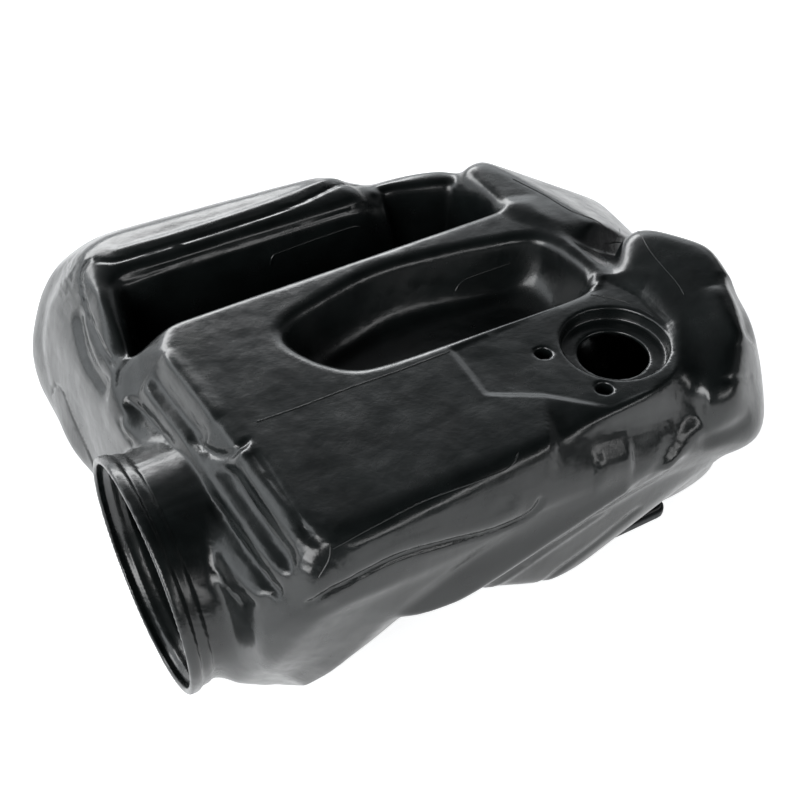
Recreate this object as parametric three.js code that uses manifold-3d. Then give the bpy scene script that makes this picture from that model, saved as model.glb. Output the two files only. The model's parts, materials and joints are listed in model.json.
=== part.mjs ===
// Air filter housing for a vehicle engine: a blow-moulded shell with its filter, clean-air outlet,
// clamp, drain valve and mountings. Millimetres, +Z up.
//
// The design frame used below has its origin at the centre of the neck's rim, +X into the housing,
// +Y towards the left lobe. At the end the whole group is moved, so that its origin is at the
// middle of the bottom of its bounding box.

import * as THREE from 'three';
import { ConvexGeometry } from 'three/addons/geometries/ConvexGeometry.js';
import { mergeVertices } from 'three/addons/utils/BufferGeometryUtils.js';
import Module from 'manifold-3d';

const wasm = await Module();
wasm.setup();

// ---------------------------------------------------------------- driving dimensions

const WALL = 3; // moulded wall of the shell
const GAP = 0.3; // clearance between parts that touch
const TOP = 80; // flat top of the shell
const KEEL = -68; // lowest face, on which the housing stands
const FLOOR = -40; // floor of the rear and of the left lobe

const NECK_RIM = 62; // outer radius of the bead around the neck
const NECK_RADIUS = 59; // outer radius of the neck behind the bead
const NECK_LENGTH = 30; // from the rim plane to inside the front wall
const BEAD = 5; // length of the bead

const PORT = { x: 243, y: -42, bore: 17.5, recess: 26.5, depth: 8 };
const PORT_SCREWS = [[208, -31], [219, -66]];
const PAD = TOP - 1; // height of the port's mounting pad

const FILTER = { y: -8, z: 0, radius: 38, core: 24, start: 80, end: 178 };
const OUTLET = { x: 246, radius: 30, wall: 3, spigot: 190, bottom: -64 };
const FLANGE = { x0: 211, x1: 281, y0: -65, y1: 38, thickness: 5, gasket: 2, margin: 8 };
const SCREW = { radius: 2.5, head: 5, headHeight: 4, grip: 12 };

const BAND = { x: 199, width: 10, thickness: 1 };
const BOOT = { inner: OUTLET.radius + GAP, outer: 34, end: 209 };

const DRAIN = { x: 110, y: 152, hole: 6 };
const LUG = { z: -22, thickness: 5, width: 26, reach: 16, hole: 8.3 };
const LUGS = [
  { x: 70, y: 212, turn: 90 },
  { x: 165, y: 206, turn: 90 },
  { x: 342, y: 62, turn: 0 },
];

// ---------------------------------------------------------------- materials

const plastic = (color, roughness) => new THREE.MeshStandardMaterial({ color, roughness, metalness: 0 });
const metal = (color, roughness) => new THREE.MeshStandardMaterial({ color, roughness, metalness: 1 });

const mouldedPlastic = plastic(0x16181a, 0.38);
const glassFilledPlastic = plastic(0x1b1d1f, 0.55);
const rubber = plastic(0x121212, 0.8);
const paper = plastic(0xd9cda6, 0.95);
const zincSteel = metal(0xb9bcbd, 0.35);
const stainless = metal(0xc4c6c8, 0.25);

// ---------------------------------------------------------------- helpers

/** A manifold solid from a closed three.js geometry. */
function solid(geometry) {
  const bare = geometry.clone();
  bare.deleteAttribute('normal');
  bare.deleteAttribute('uv');
  const merged = mergeVertices(bare, 1e-4);
  const mesh = new wasm.Mesh({
    numProp: 3,
    vertProperties: new Float32Array(merged.attributes.position.array),
    triVerts: new Uint32Array(merged.index.array),
  });
  mesh.merge();
  return new wasm.Manifold(mesh);
}

/** The three.js geometry of a manifold solid. */
function geometryOf(manifold) {
  const mesh = manifold.getMesh();
  const geometry = new THREE.BufferGeometry();
  geometry.setAttribute('position', new THREE.BufferAttribute(mesh.vertProperties, 3));
  geometry.setIndex(new THREE.BufferAttribute(mesh.triVerts, 1));
  const flat = geometry.toNonIndexed();
  flat.computeVertexNormals();
  return flat;
}

/** The convex hull of balls [x, y, z, radius], with every radius grown by `grow`. */
function hullOfBalls(balls, grow = 0) {
  const points = [];
  for (const [x, y, z, radius] of balls) {
    const ball = mergeVertices(bareBall(radius + grow));
    const position = ball.attributes.position;
    for (let i = 0; i < position.count; i += 1) {
      points.push(new THREE.Vector3().fromBufferAttribute(position, i).add(new THREE.Vector3(x, y, z)));
    }
  }
  return solid(new ConvexGeometry(points));
}

function bareBall(radius) {
  const ball = new THREE.IcosahedronGeometry(radius, 1);
  ball.deleteAttribute('normal');
  ball.deleteAttribute('uv');
  return ball;
}

/** A solid turned about the Z axis from a closed profile of [radius, z] points. */
function turned(profile, segments = 40) {
  const points = profile.map(([radius, z]) => new THREE.Vector2(radius, z));
  if (profile[0][0] > 0) {
    points.push(points[0].clone());
  }
  const geometry = new THREE.LatheGeometry(points, segments);
  geometry.rotateX(Math.PI / 2);
  return solid(geometry);
}

/** The same, turned about the X axis: profile points are [radius, x]. */
function turnedX(profile, segments = 40) {
  return turned(profile, segments).rotate([0, 90, 0]);
}

/** A ring of rectangular section about Z. */
const ring = (inner, outer, z0, z1, segments) =>
  turned([[inner, z0], [outer, z0], [outer, z1], [inner, z1]], segments);

/** A round bar along Z. */
function bar(radius, z0, z1, segments = 32) {
  const geometry = new THREE.CylinderGeometry(radius, radius, z1 - z0, segments);
  geometry.rotateX(Math.PI / 2);
  return solid(geometry).translate([0, 0, (z0 + z1) / 2]);
}

/** A flat plate of the given outline between two heights. */
function plate(shape, z0, z1, curveSegments = 6) {
  const geometry = new THREE.ExtrudeGeometry(shape, { depth: z1 - z0, bevelEnabled: false, curveSegments });
  return solid(geometry).translate([0, 0, z0]);
}

/** A rectangle with round corners, as an outline. */
function roundedRectangle(x0, y0, x1, y1, radius) {
  const shape = new THREE.Shape();
  shape.moveTo(x0 + radius, y0);
  shape.lineTo(x1 - radius, y0);
  shape.absarc(x1 - radius, y0 + radius, radius, -Math.PI / 2, 0);
  shape.lineTo(x1, y1 - radius);
  shape.absarc(x1 - radius, y1 - radius, radius, 0, Math.PI / 2);
  shape.lineTo(x0 + radius, y1);
  shape.absarc(x0 + radius, y1 - radius, radius, Math.PI / 2, Math.PI);
  shape.lineTo(x0, y0 + radius);
  shape.absarc(x0 + radius, y0 + radius, radius, Math.PI, Math.PI * 1.5);
  return shape;
}

// ---------------------------------------------------------------- housing shell

/** The shell's outer form, or the same form moved inwards by `inset` for its cavity. */
function form(inset) {
  const block = (...balls) => hullOfBalls(balls, -inset);
  const hollow = (...balls) => hullOfBalls(balls, inset);

  // The main block: a flat top that falls to a wide shoulder on the front and on the right.
  const main = block(
    [58, 74, TOP - 8, 8], [64, -10, TOP - 8, 8], [67, -79, TOP - 8, 8],
    [224, -72, TOP - 8, 8], [262, -60, TOP - 8, 8], [256, 76, TOP - 8, 8],
    [35, 72, 38, 14], [46, -60, 42, 14], [56, -78, 36, 14],
    [170, -80, 38, 14], [290, -76, 36, 14], [314, 20, 34, 14], [262, 84, 30, 14],
  );

  // Below the shoulder the sides draw in to a floor, and under the front half to a keel.
  const hull = block(
    [33, 80, 28, 14], [38, -56, 30, 14], [54, -76, 34, 14], [284, -72, 32, 14],
    [312, -30, 30, 14], [310, 60, 24, 14], [262, 104, 24, 14],
    [28, 150, FLOOR + 14, 14], [31, -44, FLOOR + 14, 14], [226, -54, FLOOR + 10, 10],
    [296, -54, FLOOR + 10, 10], [304, 50, FLOOR + 10, 10], [250, 120, FLOOR + 14, 14],
  );
  const keel = block(
    [34, 60, 0, 14], [33, -48, 0, 14], [190, -50, 0, 14], [190, 60, 0, 14],
    [38, 54, KEEL + 12, 12], [37, -34, KEEL + 12, 12], [180, -28, KEEL + 12, 12], [180, 54, KEEL + 12, 12],
  );

  // Two skirts hang from the shoulder on the right.
  const frontSkirt = block(
    [46, -80, 32, 14], [112, -80, 36, 14], [40, -70, 2, 12], [84, -73, -13, 10], [52, -44, -50, 12],
    [90, -44, -40, 12],
  );
  const rearSkirt = block(
    [140, -82, 34, 12], [290, -78, 30, 12], [150, -74, -2, 12], [194, -74, -24, 10], [222, -72, -6, 12],
    [284, -74, 18, 12], [180, -40, -30, 12],
  );

  // The left lobe: a narrow top that rounds over to a deep outer side.
  const lobe = block(
    [54, 142, TOP - 12, 12], [190, 138, TOP - 12, 12], [60, 174, 48, 22], [186, 162, 48, 22],
    [42, 182, 34, 20], [190, 176, 16, 22], [25, 188, 2, 18], [21, 184, FLOOR + 14, 14],
    [21, 122, FLOOR + 14, 14], [194, 174, FLOOR + 16, 16], [200, 116, FLOOR + 16, 16],
  );

  // The front wall that closes the trough, and the walls that close it behind.
  const frontWall = block(
    [36, 76, 50, 9], [47, 144, 68, 9], [28, 104, 34, 14], [32, 60, 26, 14], [30, 164, 30, 14],
    [22, 130, FLOOR + 14, 14], [28, 60, FLOOR + 14, 14], [60, 130, FLOOR + 14, 14],
  );
  const backWall = block(
    [204, 146, 56, 12], [254, 134, 58, 12], [204, 150, FLOOR + 16, 14], [256, 136, FLOOR + 16, 14],
    [210, 120, 0, 12], [250, 110, 0, 12],
  );
  const rearBlock = block(
    [263, 121, TOP - 8, 8], [268, 84, TOP - 8, 8], [282, 44, TOP - 8, 8],
    [300, 128, 42, 12], [324, 92, 42, 12], [326, 56, 36, 14], [250, 120, -10, 14], [306, 110, -10, 14],
    [318, 50, 0, 14],
  );
  const rearBump = block(
    [300, 10, 76, 16], [314, -12, 76, 16], [302, -54, 73, 16], [274, -80, 62, 16],
    [326, 4, 40, 16], [322, -44, 38, 16], [298, -80, 32, 16],
  );

  // The trough between the lobe and the main block, with a deeper bay at its back end.
  const trough = hollow(
    [50, 92, 8, 8], [56, 116, 8, 8], [240, 92, 8, 8], [238, 114, 8, 8],
    [44, 88, TOP + 30, 8], [54, 122, TOP + 30, 8], [250, 88, TOP + 30, 8], [246, 118, TOP + 30, 8],
  );
  const bay = hollow(
    [224, 104, 20, 8], [240, 102, 20, 8], [224, 124, 20, 8], [238, 118, 20, 8],
    [222, 100, TOP + 30, 8], [246, 100, TOP + 30, 8], [218, 136, TOP + 30, 8], [244, 126, TOP + 30, 8],
  );

  // The scooped pocket in the top.
  const pocket = hollow(
    [124, 34, 61, 16], [138, 20, 61, 16], [246, 16, 61, 16], [244, 36, 61, 16], [172, 46, 61, 16],
    [111, 42, TOP + 20, 16], [122, 14, TOP + 20, 16], [254, 8, TOP + 20, 16], [250, 40, TOP + 20, 16],
    [174, 58, TOP + 20, 16],
  );

  return main.add(hull).add(keel).add(frontSkirt).add(rearSkirt).add(lobe).add(frontWall).add(backWall)
    .add(rearBlock).add(rearBump).subtract(trough).subtract(bay).subtract(pocket);
}

/** The outline of the flat pad around the port. */
function padOutline() {
  const shape = new THREE.Shape();
  shape.moveTo(171, -9);
  shape.lineTo(169, -42);
  shape.lineTo(192, -56);
  shape.lineTo(214, -78);
  shape.lineTo(250, -78);
  shape.lineTo(266, -66);
  shape.lineTo(280, -40);
  shape.lineTo(286, 0);
  shape.lineTo(268, -9);
  shape.closePath();
  return shape;
}

/** A mounting lug, drawn along +X from its root at the origin, with its hole. */
function lug() {
  const half = LUG.width / 2;
  const shape = new THREE.Shape();
  shape.moveTo(-LUG.reach - 14, -half);
  shape.lineTo(0, -half);
  shape.absarc(0, 0, half, -Math.PI / 2, Math.PI / 2);
  shape.lineTo(-LUG.reach - 14, half);
  shape.closePath();
  return plate(shape, -LUG.thickness / 2, LUG.thickness / 2, 10);
}

const outletScrewPlaces = [
  [FLANGE.x0 + FLANGE.margin, FLANGE.y0 + FLANGE.margin],
  [FLANGE.x1 - FLANGE.margin, FLANGE.y0 + FLANGE.margin],
  [FLANGE.x0 + FLANGE.margin, FLANGE.y1 - FLANGE.margin],
  [FLANGE.x1 - FLANGE.margin, FLANGE.y1 - FLANGE.margin],
];

function housingShell() {
  const neck = turnedX([
    [0, 0], [NECK_RIM, 0], [NECK_RIM, BEAD], [NECK_RADIUS, BEAD + 2], [NECK_RADIUS, NECK_LENGTH], [0, NECK_LENGTH],
  ], 56);
  const neckBore = turnedX([
    [0, -1], [NECK_RIM - 4, -1], [NECK_RIM - 4, BEAD], [NECK_RADIUS - WALL, BEAD + 2],
    [NECK_RADIUS - WALL, NECK_LENGTH + 14], [0, NECK_LENGTH + 14],
  ], 56);
  const pad = plate(padOutline(), PAD, PAD + 40);
  const collar = bar(PORT.recess + WALL, PAD - PORT.depth - WALL, PAD).translate([PORT.x, PORT.y, 0]);
  const recess = bar(PORT.recess, PAD - PORT.depth, PAD + 1).translate([PORT.x, PORT.y, 0]);
  const port = bar(PORT.bore, PAD - PORT.depth - 20, PAD).translate([PORT.x, PORT.y, 0]);

  let shell = form(0).subtract(pad).add(neck);
  for (const place of LUGS) {
    shell = shell.add(lug().rotate([0, 0, place.turn]).translate([place.x, place.y, LUG.z]));
  }
  const padUnderside = plate(padOutline(), PAD - WALL, PAD + 40);
  let cavity = form(WALL).subtract(padUnderside).subtract(collar);
  for (const [x, y] of outletScrewPlaces) {
    cavity = cavity.subtract(bar(7, FLOOR, FLOOR + 16, 14).translate([x, y, 0]));
  }
  for (const [x, y] of PORT_SCREWS) {
    cavity = cavity.subtract(bar(7, PAD - 16, PAD, 14).translate([x, y, 0]));
  }

  shell = shell.subtract(cavity).subtract(neckBore).subtract(recess).subtract(port);
  shell = shell.subtract(bar(OUTLET.radius + GAP, FLOOR - 1, FLOOR + WALL + 2).translate([OUTLET.x, FILTER.y, 0]));
  shell = shell.subtract(bar(DRAIN.hole, FLOOR - 5, FLOOR + WALL + 5, 24).translate([DRAIN.x, DRAIN.y, 0]));
  for (const [x, y] of outletScrewPlaces) {
    shell = shell.subtract(bar(SCREW.radius + GAP, FLOOR - 1, FLOOR + SCREW.grip + 1, 14).translate([x, y, 0]));
  }
  for (const [x, y] of PORT_SCREWS) {
    shell = shell.subtract(bar(4, PAD - 12, PAD + 1, 14).translate([x, y, 0]));
  }
  for (const place of LUGS) {
    shell = shell.subtract(bar(LUG.hole, -5, 5, 28).translate([place.x, place.y, LUG.z]));
  }
  return shell.simplify(0.12);
}

// ---------------------------------------------------------------- clean-air outlet

/** A round bar along the outlet's route: in at the spigot, round the bend and down. */
function outletBar(radius, start, end) {
  const bend = OUTLET.radius + 2;
  const points = [start, OUTLET.x - bend - 3].map((x) => new THREE.Vector3(x, FILTER.y, FILTER.z));
  const turns = 6;
  for (let i = 0; i <= turns; i += 1) {
    const angle = (i / turns) * Math.PI / 2;
    points.push(new THREE.Vector3(
      OUTLET.x - bend + bend * Math.sin(angle), FILTER.y, FILTER.z - bend + bend * Math.cos(angle),
    ));
  }
  for (const z of [FILTER.z - bend - 3, end]) {
    points.push(new THREE.Vector3(OUTLET.x, FILTER.y, z));
  }
  const route = new THREE.CatmullRomCurve3(points, false, 'chordal');
  const circle = new THREE.Shape().absarc(0, 0, radius, 0, Math.PI * 2);
  return solid(new THREE.ExtrudeGeometry(circle, { steps: 14, curveSegments: 12, extrudePath: route }));
}

const flangeTop = FLOOR - GAP - FLANGE.gasket - GAP;
const flangeOutline = () => roundedRectangle(FLANGE.x0, FLANGE.y0, FLANGE.x1, FLANGE.y1, 8);

function outletElbow() {
  const flange = plate(flangeOutline(), flangeTop - FLANGE.thickness, flangeTop);
  let elbow = outletBar(OUTLET.radius, OUTLET.spigot, OUTLET.bottom).add(flange);
  const bead = ring(OUTLET.radius - 1, OUTLET.radius + 2, OUTLET.bottom, OUTLET.bottom + 4, 32);
  elbow = elbow.add(bead.translate([OUTLET.x, FILTER.y, 0]));
  elbow = elbow.subtract(outletBar(OUTLET.radius - OUTLET.wall, OUTLET.spigot - 2, OUTLET.bottom - 2));
  for (const [x, y] of outletScrewPlaces) {
    const hole = bar(SCREW.radius + GAP, flangeTop - FLANGE.thickness - 1, flangeTop + 1, 14);
    elbow = elbow.subtract(hole.translate([x, y, 0]));
  }
  return elbow;
}

function outletGasket() {
  const sheet = plate(roundedRectangle(FLANGE.x0 + 2, FLANGE.y0 + 2, FLANGE.x1 - 2, FLANGE.y1 - 2, 6),
    FLOOR - GAP - FLANGE.gasket, FLOOR - GAP);
  let gasket = sheet.subtract(bar(OUTLET.radius + 1, FLOOR - 5, FLOOR + 1).translate([OUTLET.x, FILTER.y, 0]));
  for (const [x, y] of outletScrewPlaces) {
    gasket = gasket.subtract(bar(SCREW.radius + 0.5, FLOOR - 5, FLOOR + 1, 14).translate([x, y, 0]));
  }
  return gasket;
}

/** A pan-head screw with a cross recess, standing on its head with its shank up. */
function outletScrew() {
  const headTop = flangeTop - FLANGE.thickness - GAP;
  const screw = turned([
    [0, headTop - SCREW.headHeight], [SCREW.head - 1.5, headTop - SCREW.headHeight],
    [SCREW.head, headTop - SCREW.headHeight + 1.5], [SCREW.head, headTop],
    [SCREW.radius, headTop], [SCREW.radius, FLOOR + SCREW.grip - 2], [1, FLOOR + SCREW.grip], [0, FLOOR + SCREW.grip],
  ], 14);
  const slot = solid(new THREE.BoxGeometry(6, 1.2, 3)).translate([0, 0, headTop - SCREW.headHeight]);
  return screw.subtract(slot).subtract(slot.rotate([0, 0, 90]));
}

// ---------------------------------------------------------------- filter

const onFilterAxis = (body) => body.translate([0, FILTER.y, FILTER.z]);

/** The pleated pack, as a star-shaped tube. */
function filterMedia() {
  const pleats = 36;
  const shape = new THREE.Shape();
  for (let i = 0; i < pleats * 2; i += 1) {
    const angle = (i / (pleats * 2)) * Math.PI * 2;
    const radius = i % 2 === 0 ? FILTER.radius : FILTER.radius - 5;
    const point = [radius * Math.cos(angle), radius * Math.sin(angle)];
    if (i === 0) {
      shape.moveTo(...point);
    } else {
      shape.lineTo(...point);
    }
  }
  shape.closePath();
  shape.holes.push(new THREE.Path().absarc(0, 0, FILTER.core + GAP, 0, Math.PI * 2, true));
  const length = FILTER.end - FILTER.start - 2 * GAP;
  return onFilterAxis(plate(shape, 0, length, 18).rotate([0, 90, 0]).translate([FILTER.start + GAP, 0, 0]));
}

function filterCore() {
  const x0 = FILTER.start + GAP;
  const x1 = FILTER.end - GAP;
  return onFilterAxis(turnedX([
    [FILTER.core - 1, x0], [FILTER.core, x0], [FILTER.core, x1], [FILTER.core - 1, x1],
  ], 36));
}

function filterCapClosed() {
  const x = FILTER.start;
  return onFilterAxis(turnedX([
    [0, x - 6], [FILTER.radius, x - 6], [FILTER.radius + 2, x - 4], [FILTER.radius + 2, x], [0, x],
  ]));
}

/** The rubber cap at the open end, with the boot that slides over the outlet's spigot. */
function filterCapOpen() {
  const x = FILTER.end;
  return onFilterAxis(turnedX([
    [FILTER.core - 1, x], [FILTER.radius + 2, x], [FILTER.radius + 2, x + 4], [FILTER.radius, x + 6],
    [BOOT.outer, x + 8], [BOOT.outer, BOOT.end], [BOOT.inner, BOOT.end],
    [BOOT.inner, OUTLET.spigot - GAP], [FILTER.core - 1, OUTLET.spigot - GAP],
  ]));
}

// ---------------------------------------------------------------- boot clamp

const bandInner = BOOT.outer + GAP;
const bandOuter = bandInner + BAND.thickness;
const clampHousing = { length: 14, width: 12, height: 9 };
const wormRadius = 3;
const wormReach = bandOuter + GAP + 4.8; // from the filter's axis

function clampBand() {
  return onFilterAxis(turnedX([
    [bandInner, BAND.x - BAND.width / 2], [bandOuter, BAND.x - BAND.width / 2],
    [bandOuter, BAND.x + BAND.width / 2], [bandInner, BAND.x + BAND.width / 2],
  ], 48));
}

/** The pressed housing on the right of the band, with the worm's bore upright. */
function clampHousingBody() {
  const { length, width, height } = clampHousing;
  const body = solid(new THREE.BoxGeometry(width, height, length))
    .translate([BAND.x, -bandOuter - GAP - height / 2, 0]);
  const bore = bar(wormRadius + GAP, -20, 20, 24).translate([BAND.x, -wormReach, 0]);
  return onFilterAxis(body.subtract(bore));
}

/** The worm screw, upright, with a slotted hexagon head. Its own origin is on its axis. */
function clampScrew() {
  const { length } = clampHousing;
  const worm = bar(wormRadius, -length / 2 - 3, length / 2 + 2, 24);
  const head = bar(4.6, length / 2 + GAP, length / 2 + 5, 6);
  const slot = solid(new THREE.BoxGeometry(1.2, 12, 3)).translate([0, 0, length / 2 + 5]);
  return worm.add(head).subtract(slot);
}

// ---------------------------------------------------------------- drain valve and mountings

/** A rubber duckbill: a grooved collar in the floor, and a bill flattened to a slit. */
function drainValve() {
  const collar = turned([
    [0, FLOOR + WALL + GAP + 2], [9, FLOOR + WALL + GAP + 2], [9, FLOOR + WALL + GAP],
    [DRAIN.hole - GAP, FLOOR + WALL + GAP], [DRAIN.hole - GAP, FLOOR - GAP],
    [9, FLOOR - GAP], [9, FLOOR - GAP - 2], [6.5, FLOOR - GAP - 3], [0, FLOOR - GAP - 3],
  ].reverse(), 28);
  const bill = hullOfBalls([
    [0, -5, FLOOR - 4, 1.6], [0, 5, FLOOR - 4, 1.6], [-4, 0, FLOOR - 4, 1.6], [4, 0, FLOOR - 4, 1.6],
    [0, -7, FLOOR - 18, 1.2], [0, 7, FLOOR - 18, 1.2],
  ]);
  const throat = bar(3.5, FLOOR - 2, FLOOR + 20, 14);
  return collar.add(bill).subtract(throat).translate([DRAIN.x, DRAIN.y, 0]);
}

function grommet() {
  const half = LUG.thickness / 2 + GAP;
  return turned([
    [5.3, -half - 3], [11, -half - 3], [11.5, -half - 1.5], [11, -half], [LUG.hole - GAP, -half],
    [LUG.hole - GAP, half], [11, half], [11.5, half + 1.5], [11, half + 3], [5.3, half + 3],
  ], 18);
}

const sleeve = () => ring(3.3, 5, -LUG.thickness / 2 - 4, LUG.thickness / 2 + 4, 18);

// ---------------------------------------------------------------- assembly

const housing = new THREE.Group();

function addPart(name, body, material, place = [0, 0, 0]) {
  const mesh = new THREE.Mesh(geometryOf(body), material);
  mesh.name = name;
  mesh.position.set(...place);
  housing.add(mesh);
  return mesh;
}

addPart('housing_shell', housingShell(), mouldedPlastic);
addPart('outlet_elbow', outletElbow(), glassFilledPlastic);
addPart('outlet_gasket', outletGasket(), rubber);
outletScrewPlaces.forEach(([x, y], i) => {
  addPart(`outlet_screw_${i + 1}`, outletScrew(), zincSteel, [x, y, 0]);
});

addPart('filter_media', filterMedia(), paper);
addPart('filter_core', filterCore(), zincSteel);
addPart('filter_cap_closed', filterCapClosed(), rubber);
addPart('filter_cap_open', filterCapOpen(), rubber);

addPart('clamp_band', clampBand(), stainless);
addPart('clamp_housing', clampHousingBody(), stainless);
addPart('clamp_screw', clampScrew(), zincSteel, [BAND.x, FILTER.y - wormReach, FILTER.z]);

addPart('drain_valve', drainValve(), rubber);
LUGS.forEach(({ x, y }, i) => {
  addPart(`mount_grommet_${i + 1}`, grommet(), rubber, [x, y, LUG.z]);
  addPart(`mount_sleeve_${i + 1}`, sleeve(), zincSteel, [x, y, LUG.z]);
});

// The group's origin goes to the middle of the bottom of its bounding box.
const box = new THREE.Box3().setFromObject(housing);
const middle = box.getCenter(new THREE.Vector3());
housing.position.set(-middle.x, -middle.y, -box.min.z);

export default housing;
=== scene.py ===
# %% [markdown]
# # Air filter housing
#
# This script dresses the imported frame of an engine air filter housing: a blow-moulded polyethylene
# shell that holds a pleated cartridge on a clamped outlet elbow. The frame fixes every place and
# size. Here each piece gets the surface it has on the real thing, one cell at a time.

# %% Load the frame
import json
import math

import bpy
import numpy as np
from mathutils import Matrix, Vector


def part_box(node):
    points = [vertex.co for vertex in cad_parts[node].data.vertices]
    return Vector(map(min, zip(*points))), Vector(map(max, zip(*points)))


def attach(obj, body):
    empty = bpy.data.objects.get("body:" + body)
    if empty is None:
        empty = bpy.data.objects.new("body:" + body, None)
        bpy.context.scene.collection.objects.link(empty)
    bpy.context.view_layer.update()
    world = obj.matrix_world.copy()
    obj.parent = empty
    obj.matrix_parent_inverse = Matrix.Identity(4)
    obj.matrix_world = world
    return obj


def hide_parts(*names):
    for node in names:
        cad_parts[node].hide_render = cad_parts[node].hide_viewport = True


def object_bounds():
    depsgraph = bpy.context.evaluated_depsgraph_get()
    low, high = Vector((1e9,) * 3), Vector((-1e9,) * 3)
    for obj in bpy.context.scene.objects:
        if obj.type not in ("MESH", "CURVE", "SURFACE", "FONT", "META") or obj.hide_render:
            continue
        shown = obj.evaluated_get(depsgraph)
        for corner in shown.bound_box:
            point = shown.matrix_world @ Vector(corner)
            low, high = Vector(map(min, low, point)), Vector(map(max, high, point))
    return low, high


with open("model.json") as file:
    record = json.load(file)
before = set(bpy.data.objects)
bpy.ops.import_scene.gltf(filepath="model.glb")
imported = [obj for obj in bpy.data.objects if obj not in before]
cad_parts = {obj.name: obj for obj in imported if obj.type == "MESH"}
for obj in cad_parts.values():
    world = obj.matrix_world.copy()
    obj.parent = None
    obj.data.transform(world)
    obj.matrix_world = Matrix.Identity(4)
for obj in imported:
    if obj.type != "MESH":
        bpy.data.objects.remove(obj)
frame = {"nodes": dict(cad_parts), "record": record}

import openvdb
from mathutils import Matrix, Vector

cad_box = [list(corner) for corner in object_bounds()]
print("frame:", len(frame["nodes"]), "nodes, box", [round(c, 4) for c in cad_box[0] + cad_box[1]])

# %% [markdown]
# ## A design frame
#
# The shell is easiest to describe from the middle of its neck's rim, in millimetres: x runs into
# the housing, y towards the left lobe and z up. That point is found from two nodes: the neck is
# the shell's lowest x, and the filter lies 8 mm to the right of the neck's axis, at its height.

# %% Millimetres from the neck to metres in the row frame
shell_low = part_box("housing_shell")[0]
core_low, core_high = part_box("filter_core")
FILTER_Y = -8.0
NECK = np.array([
    shell_low.x,
    (core_low.y + core_high.y) / 2 - 0.001 * FILTER_Y,
    (core_low.z + core_high.z) / 2,
])


def place(points):
    """Design points in millimetres as row-frame points in metres."""
    return NECK + 0.001 * np.asarray(points, float)


print("neck rim centre at", [round(float(c), 4) for c in NECK])

# %% [markdown]
# ## Small helpers
#
# Every material and every geometry tree below is built with one function that adds a node with its
# settings and links. The others link an object into the scene, take the mesh that its modifiers
# make, start a material, and turn a hex colour into the linear values a shader wants.


# %% Object, node and colour helpers
def linked(name, data):
    """A new object in the scene."""
    made = bpy.data.objects.new(name, data)
    bpy.context.scene.collection.objects.link(made)
    return made


def final_mesh(base):
    """The mesh of an object after its modifiers."""
    evaluated = base.evaluated_get(bpy.context.evaluated_depsgraph_get())
    return bpy.data.meshes.new_from_object(evaluated)


def add(tree, kind, inputs=None, **settings):
    """Adds a node. Inputs are values, or sockets to link, by name or by number."""
    node = tree.nodes.new(kind)
    for name, value in settings.items():
        setattr(node, name, value)
    for name, value in (inputs or {}).items():
        if isinstance(value, bpy.types.NodeSocket):
            tree.links.new(value, node.inputs[name])
        else:
            node.inputs[name].default_value = value
    return node


def maths(tree, operation, a, b=0.5):
    return add(tree, "ShaderNodeMath", {0: a, 1: b}, operation=operation).outputs[0]


def principled(name, values):
    """A material, its node tree, and its Principled shader with these input values."""
    material = bpy.data.materials.new(name)
    material.use_nodes = True
    shader = material.node_tree.nodes["Principled BSDF"]
    for socket, value in values.items():
        shader.inputs[socket].default_value = value
    return material, material.node_tree, shader


def srgb(code):
    """A hex colour such as '1C1F21' as linear RGBA."""
    channels = [int(code[i:i + 2], 16) / 255 for i in (0, 2, 4)]
    return [c / 12.92 if c <= 0.04045 else ((c + 0.055) / 1.055) ** 2.4 for c in channels] + [1.0]


print("black plastic is", [round(c, 4) for c in srgb("1C1F21")[:3]])

# %% [markdown]
# ## Camera
#
# A 57.6 mm lens from the front right, 44 degrees above the horizon, so that the neck, the pad and
# both sides of the trough are seen at once.

# %% Camera
AZIMUTH = math.radians(-29.54)
ELEVATION = math.radians(43.79)
CAMERA_SPOT = (-82.14, -401.55, 492.90)

camera_data = bpy.data.cameras.new("camera")
camera_data.lens = 57.6
camera_data.sensor_width = 36
camera = linked("camera", camera_data)
right = Vector((math.cos(AZIMUTH), math.sin(AZIMUTH), 0))
back = Vector((
    math.sin(AZIMUTH) * math.cos(ELEVATION),
    -math.cos(AZIMUTH) * math.cos(ELEVATION),
    math.sin(ELEVATION),
))
rotation = Matrix((right, back.cross(right), back)).transposed()
camera.matrix_world = Matrix.Translation(place(CAMERA_SPOT)) @ rotation.to_4x4()
bpy.context.scene.camera = camera
print("camera at", [round(c, 3) for c in camera.matrix_world.translation])

# %% [markdown]
# ## Light table and studio
#
# The part lies on a pale acrylic light table. The table glows from below, and the walls of the
# room are bright near the horizon and dark above head height. That is the usual way to light
# glossy black plastic: the sides pick up long pale reflections, and the flat top stays dark.


# %% Floor, world and lights
def studio_floor(size=6.0):
    height = cad_box[0][2] - 0.0005
    corners = [(-size, -size), (size, -size), (size, size), (-size, size)]
    mesh = bpy.data.meshes.new("light_table")
    mesh.from_pydata([(x, y, height) for x, y in corners], [], [(0, 1, 2, 3)])
    mesh.materials.append(principled("lit_acrylic", {
        "Base Color": srgb("E6E8EA"), "Roughness": 0.6, "Specular IOR Level": 0.2,
        "Emission Color": srgb("FFFFFF"), "Emission Strength": FLOOR_GLOW})[0])
    linked("light_table", mesh)


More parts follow.
